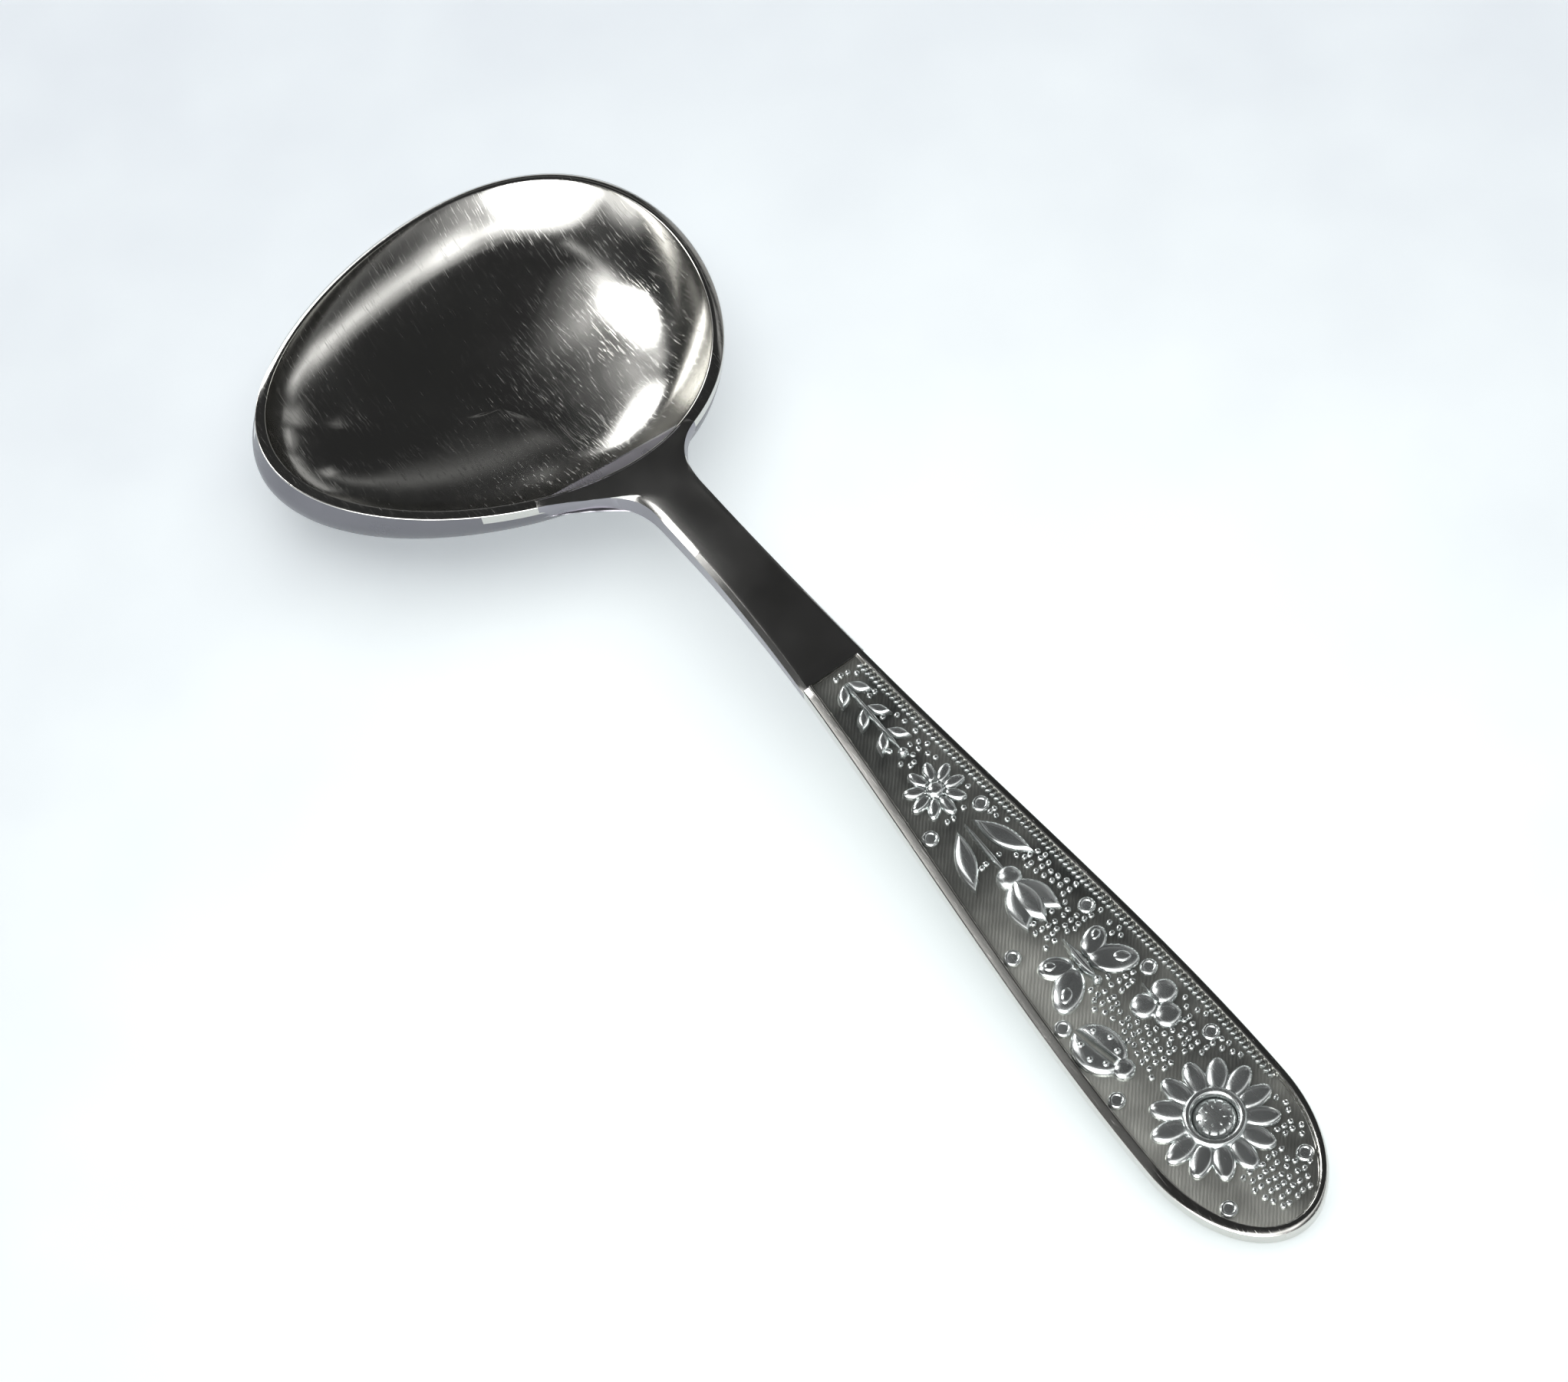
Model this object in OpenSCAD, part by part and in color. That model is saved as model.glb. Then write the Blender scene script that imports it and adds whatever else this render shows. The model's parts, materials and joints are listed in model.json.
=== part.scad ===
// Child's self-feeding spoon, pressed from one piece of stainless steel: an egg-shaped bowl turned
// sideways to the handle, a flared neck, a plain arched shank and a broad handle with a picture panel
// in low relief. Every node is one region of that pressing, and regions meet face to face.
// Millimetres, +Z up, +X from the bowl towards the handle's end. The origin is on the table, under the
// middle of the bowl, where the spoon rests.

/* [Bowl] */
// Length of the bowl from its heel to its tip
bowl_len = 42; // [36:0.5:50]
// Width of the bowl at its widest place
bowl_wid = 35.6; // [30:0.2:42]
// Angle between the handle and the bowl's long axis
bowl_turn = 78; // [68:1:88]
// Height of the rim above the table
rim_h = 9; // [7.5:0.25:11]
// Thickness of the steel under the bowl
bowl_wall = 1.1; // [0.8:0.1:1.5]
// Width of the flat land round the rim
rim_land = 1; // [0.6:0.1:1.4]
// Height of the upright edge outside the land
rim_edge = 0.6; // [0.3:0.1:1]

/* [Neck and shank] */
// Distance of the handle's centre line from the bowl's middle
handle_off = 4.4; // [3.5:0.1:5.5]
// Length of the flare, from the bowl's side to the shank
neck_len = 6.2; // [5:0.2:9]
// Length of the plain shank, from the flare to the picture panel
shank_len = 22; // [18:0.5:28]
// Height of the handle's top where the flare ends
neck_h = 9.1; // [8.5:0.1:10]
// Width of the shank at its narrowest place
neck_wid = 4.8; // [3.8:0.1:5.5]
// Thickness of the steel at the neck
neck_thick = 3.2; // [2.4:0.1:3.8]
// Width of the bevel along the edges of the shank
bevel = 0.45; // [0.2:0.05:0.7]
// Height of the crown across the top of the shank
crown = 0.2; // [0:0.05:0.4]

/* [Handle] */
// Height of the handle's top at the start of the picture panel
relief_h = 8.5; // [7.5:0.1:9.5]
// Length of the broad handle from the start of the panel to the end
relief_len = 60.6; // [56:0.2:68]
// Width of the handle at its widest place
end_wid = 13.7; // [12:0.1:16]
// Length of the rounded end
end_round = 10.6; // [8:0.2:12]
// Thickness of the handle over its border
handle_thick = 2; // [1.5:0.1:2.4]
// Width of the raised border
border_wid = 0.8; // [0.5:0.05:1]
// Depth of the panel's ground below the border
relief_depth = 0.45; // [0.3:0.05:0.6]

/* [Relief] */
// Height of the flat parts of the relief above the ground
relief_rise = 0.45; // [0.2:0.05:0.5]
// Further height of the rounded parts of the relief
dome_rise = 0.35; // [0.2:0.05:0.4]
// Distance between the ribs of the milled line
rib_pitch = 0.8; // [0.6:0.05:1.2]
// Diameter of each rib of the milled line
rib_d = 0.55; // [0.3:0.05:0.6]
// Length of the sprig's stem
sprig_len = 8; // [6:0.2:9]
// Length of one leaf of the sprig
sprig_leaf = 2.4; // [1.8:0.1:2.6]
// Diameter of the daisy over its petals
daisy_d = 5; // [4:0.2:5.4]
// Length of the tulip's flower
tulip_len = 5; // [4:0.2:5.6]
// Length of one of the tulip's leaves
leaf_len = 6; // [5:0.2:6.6]
// Length of one large wing of the butterfly
wing_len = 4.2; // [3.4:0.1:4.4]
// Diameter of the clover leaf over its three leaflets
clover_d = 4.6; // [3.6:0.2:5]
// Length of the ladybird's shell
shell_len = 5; // [4:0.2:5.4]
// Diameter of the sunflower over its petals
sunflower_d = 10.4; // [8:0.2:10.8]
// Diameter of one round stud
stud_d = 1.5; // [1:0.1:1.8]
// Smallest gap between a motif and its neighbours
motif_gap = 0.2; // [0.1:0.05:0.4]

/* [Hidden] */

steel = "#a9adb2";
bright_steel = "#c9ccd0";
dark_steel = "#6f7479";

// How far a cut runs past the surface that it opens
overrun = 0.1;

// Where the flare ends and where the picture panel starts, from the bowl's middle
neck_x = bowl_wid / 2 + neck_len;
relief_x = neck_x + shank_len;

// The bowl's outline: an egg whose heel is fuller than its tip by these shares of its width
heel_share = 0.21;
tip_share = 0.05;
// How full the bowl's section is: 2 is an ellipse, and more is a flatter floor with steeper walls. It
// swings round the bowl, from steep walls at the tip to shallow ones under the neck
fullness = 2.45;
fullness_swing = 0.75;
fullness_turn = 40;
// The far side of the bowl opens out instead: there one power draws the section in, and a lower one lets
// it down, so the wall meets the rim at a slope. That side's middle, and the cosines between which it
// takes over. Outside, the depth turns back before the neck, so that the neck keeps its thick root
far_across = 3.2;
far_down = 1.1;
far_inside = [45, -0.82, -0.26];
far_outside = [70, -0.5, 0.17];
// Near the tip the wall swells out past the rim, most of all a third of the way down
swell_share = 0.027;
swell_turn = 168;
inner_swell_share = 0.4;
// Facets round the bowl and rings from its rim to its floor
bowl_facets = 72;
bowl_rings = 12;
// The angle along the section at which the flat floor starts: 90 would be the very middle. The rings
// lie closer together near the rim
last_ring_angle = 80;
ring_spread = 1.3;
// The facets of the rim between which the neck grows out of the bowl, and its rows down the wall
neck_first = 53;
neck_cols = 9;
neck_rows = 3;
neck_steps = 8;
// How hard the flare's two edges and its middle follow the rim before they turn along the handle,
// as shares of the flare's own length
left_pull_share = 0.7;
right_pull_share = 0.4;
middle_pull_share = 0.25;
turn_pull_share = 0.55;

// Round pieces of the relief are cut this finely
$fn = 48;

// The bowl

// A point of the egg outline of this length and width at angle t, where t = 0 is the heel
function egg(t, len, wid) =
    let (x = len / 2 * cos(t))
    let (y = wid / 2 * sin(t) * (1 + heel_share * cos(t) + tip_share * pow(cos(t), 2)))
    [x * cos(bowl_turn) - y * sin(bowl_turn), x * sin(bowl_turn) + y * cos(bowl_turn)];

// How much of the far side's section stands at angle t: far holds that side's middle and the cosines
// between which it takes over
function far_share(t, far) = smooth(min(1, max(0, (cos(t - far[0]) - far[1]) / (far[2] - far[1]))));
function fullness_at(t) = fullness - fullness_swing * cos(t + fullness_turn);
function power_at(t, far, far_power) =
    let (near = fullness_at(t))
    near + (far_power - near) * far_share(t, far);

// Ring j of a dished surface, from 0 at the rim: its size and its depth as shares of the whole
function ring_angle(j) = last_ring_angle * pow(j / (bowl_rings - 1), ring_spread);
function size_share(t, j) = pow(cos(ring_angle(j)), 2 / power_at(t, far_inside, far_across));
function depth_share(t, j, far) =
    pow(sin(ring_angle(j)) / sin(last_ring_angle), 2 / power_at(t, far, far_down));

function swell(t, j, p, far) =
    let (d = depth_share(t, j, far))
    let (bump = 27 / 4 * d * pow(1 - d, 2) * pow(max(0, cos(t - swell_turn)), 2))
    p / norm(p) * bowl_len * swell_share * bump;

// One point of the bowl's skin: rows run from the floor inside, up over the rim and down to the foot
function facet_angle(i) = 360 * i / bowl_facets;
function inner_point(i, j) =
    let (t = facet_angle(i))
    let (flat = egg(t, bowl_len - 2 * rim_land, bowl_wid - 2 * rim_land) * size_share(t, j))
    let (p = flat + swell(t, j, flat, far_inside) * inner_swell_share)
    [p[0], p[1], rim_h - (rim_h - bowl_wall) * depth_share(t, j, far_inside)];
function outer_point(i, j) =
    let (t = facet_angle(i))
    let (flat = egg(t, bowl_len, bowl_wid) * size_share(t, j))
    let (p = flat + swell(t, j, flat, far_outside))
    [p[0], p[1], (rim_h - rim_edge) * (1 - depth_share(t, j, far_outside))];
function rim_point(i) = let (p = outer_point(i, 0)) [p[0], p[1], rim_h];

module bowl() {
    rows = 2 * bowl_rings + 1;
    profile = function (i) concat(
        [for (j = [bowl_rings - 1:-1:0]) inner_point(i, j)],
        [rim_point(i)],
        [for (j = [0:bowl_rings - 1]) outer_point(i, j)]);
    at = function (i, r) (i % bowl_facets) * rows + r;
    color(steel) polyhedron(
        points = [for (i = [0:bowl_facets - 1]) each profile(i)],
        faces = concat(
            [for (i = [0:bowl_facets - 1], r = [0:rows - 2]) each [
                [at(i, r), at(i, r + 1), at(i + 1, r)],
                [at(i + 1, r), at(i, r + 1), at(i + 1, r + 1)]]],
            [[for (i = [0:bowl_facets - 1]) at(i, 0)]],
            [[for (i = [bowl_facets - 1:-1:0]) at(i, rows - 1)]]));
}

// The handle's outline and side profile

// Half the handle's width at a distance x from the bowl's middle
half_from = neck_x + 2;
half_to = relief_x + relief_len - end_round;
widen_share = 1.1;
function smooth(u) = u * u * (3 - 2 * u);
function half_wid(x) =
    let (u = min(1, max(0, (x - half_from) / (half_to - half_from))))
    neck_wid / 2 + (end_wid - neck_wid) / 2 * smooth(pow(u, widen_share));

// The broad handle is flat and leans down so that its end touches the table
tilt = asin(relief_h / norm([relief_len, handle_thick])) - atan2(handle_thick, relief_len);
neck_slope = 0.03;
arch_len = relief_x - neck_x;
function arch_h(u) =
    (1 - smooth(u)) * neck_h + smooth(u) * relief_h
    + arch_len * (u * pow(1 - u, 2) * neck_slope + u * u * (1 - u) * tan(tilt));
function arch_slope(u) =
    6 * u * (1 - u) * (relief_h - neck_h) / arch_len
    + (1 - u) * (1 - 3 * u) * neck_slope + u * (2 - 3 * u) * tan(tilt);

// One point of the shank's section: u runs along the shank, row and col over the section's grid
function shank_point(u, row, col) =
    let (x = neck_x + arch_len * u)
    let (thick = neck_thick + (handle_thick - neck_thick) * u)
    let (lean = -atan(arch_slope(u)))
    let (across = 2 * col / neck_cols - 1)
    let (half = half_wid(x) - (row == 0 || row == neck_rows ? bevel : 0))
    let (drop = [crown * (1 - u) * pow(across, 2), bevel, thick - bevel, thick][row])
    [x - drop * sin(lean), handle_off + across * half, arch_h(u) - drop * cos(lean)];

// One point of the neck: it starts on the bowl's outer wall and ends on the shank's first section
function wall_point(row, col) =
    row == 0 ? rim_point(neck_first + col) : outer_point(neck_first + col, row - 1);
function rim_along(col) =
    let (step = rim_point(neck_first + col + 1) - rim_point(neck_first + col - 1))
    step / norm(step);
function neck_point(u, row, col) =
    let (from = wall_point(row, col))
    let (to = shank_point(0, row, col))
    let (v = col / neck_cols)
    let (along = rim_along(col))
    let (away = [along[1], -along[0], 0])
    let (reach = neck_x - from[0])
    let (side_pull = left_pull_share * (1 - v) + right_pull_share * v)
    let (pull = reach * (middle_pull_share + (side_pull - middle_pull_share) * pow(cos(180 * v), 2)))
    let (one = from + pull * (cos(180 * v) * along + sin(180 * v) * away))
    let (two = to - [turn_pull_share * reach, 0, turn_pull_share * reach * neck_slope])
    pow(1 - u, 3) * from + 3 * u * pow(1 - u, 2) * one + 3 * u * u * (1 - u) * two + pow(u, 3) * to;

// A solid through sections that all have the same grid of rows and columns: the first and the last
// section close it, and the edges of all of them carry its skin
grid_size = (neck_rows + 1) * (neck_cols + 1);
edge_cells = concat(
    [for (c = [0:neck_cols]) [0, c]],
    [for (r = [1:neck_rows]) [r, neck_cols]],
    [for (c = [neck_cols - 1:-1:0]) [neck_rows, c]],
    [for (r = [neck_rows - 1:-1:1]) [r, 0]]);
module loft(steps, point) {
    ring = len(edge_cells);
    ends = [for (u = [0, 1], r = [0:neck_rows], c = [0:neck_cols]) point(u, r, c)];
    middle = [for (s = [1:steps - 1], cell = edge_cells) point(s / steps, cell[0], cell[1])];
    end_at = function (last, r, c) (last ? grid_size : 0) + r * (neck_cols + 1) + c;
    at = function (s, k)
        let (cell = edge_cells[k % ring])
        s == 0 ? end_at(false, cell[0], cell[1])
            : s == steps ? end_at(true, cell[0], cell[1])
            : 2 * grid_size + (s - 1) * ring + k % ring;
    polyhedron(
        points = concat(ends, middle),
        faces = concat(
            [for (s = [0:steps - 1], k = [0:ring - 1]) each [
                [at(s, k), at(s, k + 1), at(s + 1, k)],
                [at(s + 1, k), at(s, k + 1), at(s + 1, k + 1)]]],
            [for (r = [0:neck_rows - 1], c = [0:neck_cols - 1]) each [
                [end_at(false, r, c), end_at(false, r + 1, c), end_at(false, r, c + 1)],
                [end_at(false, r, c + 1), end_at(false, r + 1, c), end_at(false, r + 1, c + 1)],
                [end_at(true, r, c), end_at(true, r, c + 1), end_at(true, r + 1, c)],
                [end_at(true, r, c + 1), end_at(true, r + 1, c + 1), end_at(true, r + 1, c)]]]));
}

module neck() {
    color(steel) loft(neck_steps, function (u, r, c) neck_point(u, r, c));
}

module shank() {
    color(steel) loft(neck_steps, function (u, r, c) shank_point(u, r, c));
}

// The broad handle: its own frame starts at the panel's start, with x along it and z = 0 at the border's top

module on_handle() {
    translate([relief_x, handle_off, relief_h]) rotate([0, tilt, 0]) children();
}

side_points = 16;
end_points = 24;
function handle_outline(inset) =
    let (straight = relief_len - end_round)
    let (sides = [for (k = [0:side_points - 1])
        let (x = straight * k / side_points)
        [x, half_wid(relief_x + x) - inset]])
    let (round_end = [for (k = [0:end_points])
        let (a = 90 - 180 * k / end_points)
        [straight + (end_round - inset) * cos(a), (end_wid / 2 - inset) * sin(a)]])
    concat(sides, round_end, [for (k = [side_points - 1:-1:0]) [sides[k][0], -sides[k][1]]]);

module handle_plate() {
    color(dark_steel) on_handle()
        translate([0, 0, -handle_thick])
            linear_extrude(handle_thick - relief_depth) polygon(handle_outline(0));
}

module handle_border() {
    color(bright_steel) on_handle()
        translate([0, 0, -relief_depth]) linear_extrude(relief_depth) difference() {
            polygon(handle_outline(0));
            polygon(handle_outline(border_wid));
            translate([-overrun, border_wid - neck_wid / 2])
                square([2 * overrun, neck_wid - 2 * border_wid]);
        }
}

// The motifs stand in a row along the panel. Each takes its own length, and what is left over is shared
// out between the gaps before, among and after them
stem_wid = 0.5;
butterfly_len_share = 1.4;
head_len_share = 0.2;
shell_wid_share = 0.82;
motif_lens = [sprig_len + stem_wid, daisy_d, leaf_len + tulip_len, wing_len * butterfly_len_share,
    max(shell_len * (1 + head_len_share), clover_d), sunflower_d];
gap_shares = [0.12, 0.1, 0.1, 0.1, 0.1, 0.1, 0.38];
function sum(list, n) = n <= 0 ? 0 : list[n - 1] + sum(list, n - 1);
spare_len = relief_len - border_wid - sum(motif_lens, len(motif_lens));
function motif_start(k) = sum(motif_lens, k) + spare_len * sum(gap_shares, k + 1);
sprig_x = motif_start(0);
daisy_x = motif_start(1) + daisy_d / 2;
tulip_x = motif_start(2) + leaf_len;
butterfly_x = motif_start(3) + motif_lens[3] / 2;
ladybird_x = motif_start(4) + shell_len / 2;
clover_x = motif_start(4) + clover_d / 2;
sunflower_x = motif_start(5) + sunflower_d / 2;

rib_edge_gap = 0.1;

// How far the panel reaches to each side at a place along it, inside the border and the milled line
function room_right(x) = half_wid(relief_x + x) - border_wid - motif_gap;
function room_left(x) = room_right(x) - rib_edge_gap - rib_d;
ladybird_y = -room_right(ladybird_x) + shell_len * shell_wid_share / 2;
clover_y = room_left(clover_x) - clover_d / 2;

// Round motifs, each with its middle and its radius
round_motifs = [[daisy_x, 0, daisy_d / 2], [clover_x, clover_y, clover_d / 2],
    [sunflower_x, 0, sunflower_d / 2]];

// Whether a small round piece of this diameter has room beside them
function is_clear(place, d) = len([for (c = round_motifs)
    if (norm(place - [c[0], c[1]]) < c[2] + d / 2 + rib_edge_gap) c]) == 0;

// A row of small upright ribs inside the border, on the side away from the bowl's tip. It leaves out the
// ribs that would meet a round motif
rib_count = floor((relief_len - end_round) / rib_pitch);
function rib_place(k) =
    let (x = k * rib_pitch)
    [x, half_wid(relief_x + x) - border_wid - rib_edge_gap - rib_d / 2];
module milled_line() {
    color(bright_steel) on_relief()
        for (k = [1:rib_count - 1]) if (is_clear(rib_place(k), rib_d))
            translate(rib_place(k)) cylinder(d = rib_d, h = relief_rise, $fn = 16);
}

// The picture panel: a generic garden in low relief that stands on the panel's ground

module on_relief() {
    on_handle() translate([0, 0, -relief_depth]) children();
}

// A cap of a ball of this diameter at its foot
module dome(d, h) {
    r = (d * d / 4 + h * h) / (2 * h);
    rotate_extrude() intersection() {
        translate([0, h - r]) circle(r, $fn = 96);
        square([d / 2, h]);
    }
}

// A leaf from the origin along x, pointed at both ends
function leaf_outline(len, wid) =
    let (n = 12)
    concat(
        [for (k = [0:n]) [len * k / n, wid / 2 * sin(180 * k / n)]],
        [for (k = [n - 1:-1:1]) [len * k / n, -wid / 2 * sin(180 * k / n)]]);
module leaf(len, wid) {
    linear_extrude(relief_rise) polygon(leaf_outline(len, wid));
}

// An oval lobe whose near end is at the origin
module lobe(len, wid) {
    linear_extrude(relief_rise)
        polygon([for (a = [0:15:345]) [len / 2 + len / 2 * cos(a), wid / 2 * sin(a)]]);
}

leaf_wid_share = 0.46;
sprig_leaf_turn = 38;

module sprig() {
    pairs = 3;
    color(bright_steel) on_relief() translate([sprig_x, 0, 0]) {
        translate([0, -stem_wid / 2, 0]) cube([sprig_len, stem_wid, relief_rise]);
        for (k = [0:pairs - 1], side = [-1, 1])
            translate([sprig_len * k / pairs, 0, 0]) rotate([0, 0, side * sprig_leaf_turn])
                leaf(sprig_leaf, sprig_leaf * leaf_wid_share);
        translate([sprig_len, 0, 0]) dome(2 * stem_wid, relief_rise + dome_rise);
    }
}

// Petals in a ring: each is a lobe that starts at the flower's centre piece
module petals(count, d, inner_d) {
    lobe_len = (d - inner_d) / 2;
    lobe_wid = PI * (d + inner_d) / 2 / count;
    under_centre = lobe_len / 4;
    difference() {
        for (k = [0:count - 1]) rotate([0, 0, 360 * k / count])
            translate([inner_d / 2 - under_centre, 0, 0]) lobe(lobe_len + under_centre, lobe_wid);
        translate([0, 0, -overrun]) cylinder(d = inner_d, h = relief_rise + 2 * overrun);
    }
}

daisy_centre_share = 0.34;
module on_daisy() {
    on_relief() translate([daisy_x, 0, 0]) children();
}
module daisy_petals() {
    color(bright_steel) on_daisy() petals(9, daisy_d, daisy_d * daisy_centre_share);
}
module daisy_centre() {
    color(steel) on_daisy() dome(daisy_d * daisy_centre_share, relief_rise + dome_rise);
}

// The tulip opens towards the handle's end, on a stem with a leaf on each side
tulip_wid_share = 0.9;
tulip_petal_turn = 20;
tulip_leaf_turn = 22;
tulip_leaf_wid_share = 0.31;
tulip_stem_len = leaf_len;
module on_tulip() {
    on_relief() translate([tulip_x, 0, 0]) children();
}
module tulip_flower() {
    cup = tulip_len * tulip_wid_share;
    color(bright_steel) on_tulip() {
        for (side = [-1:1]) rotate([0, 0, side * tulip_petal_turn]) leaf(tulip_len, cup / 2);
        dome(cup / 2, relief_rise + dome_rise);
        translate([-tulip_stem_len, -stem_wid / 2, 0]) cube([tulip_stem_len, stem_wid, relief_rise]);
    }
}
module tulip_leaves() {
    leaf_gap = stem_wid;
    color(steel) on_tulip() for (side = [-1, 1])
        translate([-tulip_stem_len, side * (stem_wid / 2 + leaf_gap), 0])
            rotate([0, 0, side * tulip_leaf_turn]) leaf(leaf_len, leaf_len * tulip_leaf_wid_share);
}

// The butterfly has two large and two small wings, which start this far from the middle of a slim body
butterfly_body_wid = 0.9;
wing_root = 0.6;
large_wing_turn = 52;
large_wing_wid_share = 0.62;
small_wing_turn = 122;
small_wing_len_share = 0.72;
small_wing_wid_share = 0.5;
body_len_share = 1.2;
module on_butterfly() {
    on_relief() translate([butterfly_x, 0, 0]) children();
}
module wing_pair(side) {
    translate([0, side * wing_root, 0]) {
        rotate([0, 0, side * large_wing_turn]) lobe(wing_len, wing_len * large_wing_wid_share);
        rotate([0, 0, side * small_wing_turn])
            lobe(wing_len * small_wing_len_share, wing_len * small_wing_wid_share);
    }
}
module butterfly_wings() {
    color(bright_steel) on_butterfly() for (side = [-1, 1]) wing_pair(side);
}
module butterfly_body() {
    body_len = wing_len * body_len_share;
    color(steel) on_butterfly() difference() {
        union() {
            translate([-body_len / 2, 0, 0]) leaf(body_len, butterfly_body_wid);
            translate([body_len / 2 - butterfly_body_wid / 2, 0, 0])
                dome(butterfly_body_wid, relief_rise + dome_rise);
        }
        for (side = [-1, 1], low = [0, relief_rise]) translate([0, 0, low - overrun]) wing_pair(side);
    }
}

// The ladybird walks along one side of the panel, with a clover leaf on the other
head_share = 0.4;
ladybird_turn = 12;
module on_ladybird() {
    on_relief() translate([ladybird_x, ladybird_y, 0])
        rotate([0, 0, ladybird_turn]) children();
}
function shell_outline() = [for (a = [0:15:345])
    [shell_len / 2 * cos(a), shell_len * shell_wid_share / 2 * sin(a)]];
module ladybird_shell() {
    color(bright_steel) on_ladybird() difference() {
        linear_extrude(relief_rise) polygon(shell_outline());
        translate([-shell_len, -rib_edge_gap, relief_rise / 2])
            cube([2 * shell_len, 2 * rib_edge_gap, relief_rise]);
    }
}
module ladybird_head() {
    head_h = relief_rise + dome_rise;
    color(steel) on_ladybird() difference() {
        translate([shell_len / 2, 0, 0]) dome(shell_len * head_share, head_h);
        translate([0, 0, -overrun]) linear_extrude(head_h + 2 * overrun) polygon(shell_outline());
    }
}
clover_leaf_share = 0.5;
clover_stem_share = 0.48;
clover_stem_turn = 180;
module clover_leaf() {
    leaf_d = clover_d * clover_leaf_share;
    color(bright_steel) on_relief()
        translate([clover_x, clover_y, 0]) {
            for (turn = [0, 120, 240]) rotate([0, 0, turn])
                translate([(clover_d - leaf_d) / 2, 0, 0]) cylinder(d = leaf_d, h = relief_rise);
            rotate([0, 0, clover_stem_turn]) translate([0, -stem_wid / 4, 0])
                cube([clover_d * clover_stem_share, stem_wid / 2, relief_rise]);
        }
}

// The sunflower fills the round end of the panel
sunflower_ring_share = 0.5;
sunflower_centre_share = 0.34;
module on_sunflower() {
    on_relief() translate([sunflower_x, 0, 0]) children();
}
module sunflower_petals() {
    color(bright_steel) on_sunflower() petals(13, sunflower_d, sunflower_d * sunflower_ring_share);
}
module sunflower_ring() {
    color(steel) on_sunflower() difference() {
        cylinder(d = sunflower_d * sunflower_ring_share, h = relief_rise + dome_rise);
        translate([0, 0, -overrun])
            cylinder(d = sunflower_d * sunflower_centre_share, h = relief_rise + dome_rise + 2 * overrun);
    }
}
module sunflower_centre() {
    color(bright_steel) on_sunflower()
        dome(sunflower_d * sunflower_centre_share, relief_rise + dome_rise);
}

// Round studs fill the corners beside the gaps between the motifs, from the daisy on, and beside the
// sunflower in the round end where there is room
end_stud_turn = 47;
function stud_place(gap, side) =
    let (x = motif_start(gap) - spare_len * gap_shares[gap] / 2)
    [x, side * ((side > 0 ? room_left(x) : room_right(x)) - stud_d / 2)];
function end_stud_place(side) =
    let (inset = border_wid + motif_gap + stud_d / 2)
    [relief_len - end_round + (end_round - inset) * cos(end_stud_turn),
        side * (end_wid / 2 - inset) * sin(end_stud_turn)];
module studs() {
    places = concat(
        [for (gap = [2:len(motif_lens) - 1], side = [-1, 1]) stud_place(gap, side)],
        [for (side = [-1, 1]) end_stud_place(side)]);
    color(bright_steel) on_relief() for (place = places)
        if (is_clear(place, stud_d)) translate(place) dome(stud_d, relief_rise);
}

bowl();
neck();
shank();
handle_plate();
handle_border();
milled_line();
sprig();
daisy_petals();
daisy_centre();
tulip_flower();
tulip_leaves();
butterfly_wings();
butterfly_body();
ladybird_shell();
ladybird_head();
clover_leaf();
sunflower_petals();
sunflower_ring();
sunflower_centre();
studs();
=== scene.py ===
# %% [markdown]
# # A child's feeding spoon in pressed stainless steel
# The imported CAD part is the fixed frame, and everything here dresses it. All modelling is thought out in
# millimetres, as in a workshop drawing, and one factor turns it into Blender's metres.

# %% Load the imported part
import json
import random
from math import asin, atan, atan2, cos, hypot, pi, radians, sin, sqrt, tan

import bmesh
import bpy
from mathutils import Matrix, Vector
from mathutils.bvhtree import BVHTree

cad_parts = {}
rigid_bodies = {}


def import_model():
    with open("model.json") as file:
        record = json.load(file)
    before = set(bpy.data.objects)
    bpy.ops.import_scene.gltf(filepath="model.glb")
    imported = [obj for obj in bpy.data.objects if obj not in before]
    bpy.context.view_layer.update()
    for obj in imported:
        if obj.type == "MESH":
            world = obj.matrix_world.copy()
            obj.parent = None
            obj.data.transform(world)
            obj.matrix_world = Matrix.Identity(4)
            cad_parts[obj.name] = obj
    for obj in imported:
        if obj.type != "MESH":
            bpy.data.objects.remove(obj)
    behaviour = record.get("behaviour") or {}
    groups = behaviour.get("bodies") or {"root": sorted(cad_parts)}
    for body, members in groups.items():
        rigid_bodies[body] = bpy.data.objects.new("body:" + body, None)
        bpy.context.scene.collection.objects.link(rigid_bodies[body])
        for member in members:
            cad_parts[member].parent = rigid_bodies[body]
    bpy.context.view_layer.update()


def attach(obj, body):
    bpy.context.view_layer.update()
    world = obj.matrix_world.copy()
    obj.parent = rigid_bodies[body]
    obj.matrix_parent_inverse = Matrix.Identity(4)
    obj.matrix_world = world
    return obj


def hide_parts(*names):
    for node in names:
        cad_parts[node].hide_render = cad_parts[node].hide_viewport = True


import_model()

MM = 0.001

# %% [markdown]
# ## The camera
# The photograph looks down at the table at 57 degrees, and the camera is rolled 15 degrees to the right.
# A long lens from 38 centimetres away keeps the spoon's outline nearly as flat as a drawing. The angles
# were fitted to the egg outline of the bowl and to the straight handle, so no shift is needed.

# %% Place the camera
CAMERA_MM = (221.14, -74.43, 303.0)
CAMERA_AZIMUTH, CAMERA_TILT, CAMERA_ROLL = 67.06, 33, -15
SENSOR_MM, LENS_MM = 36, 98.63

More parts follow.
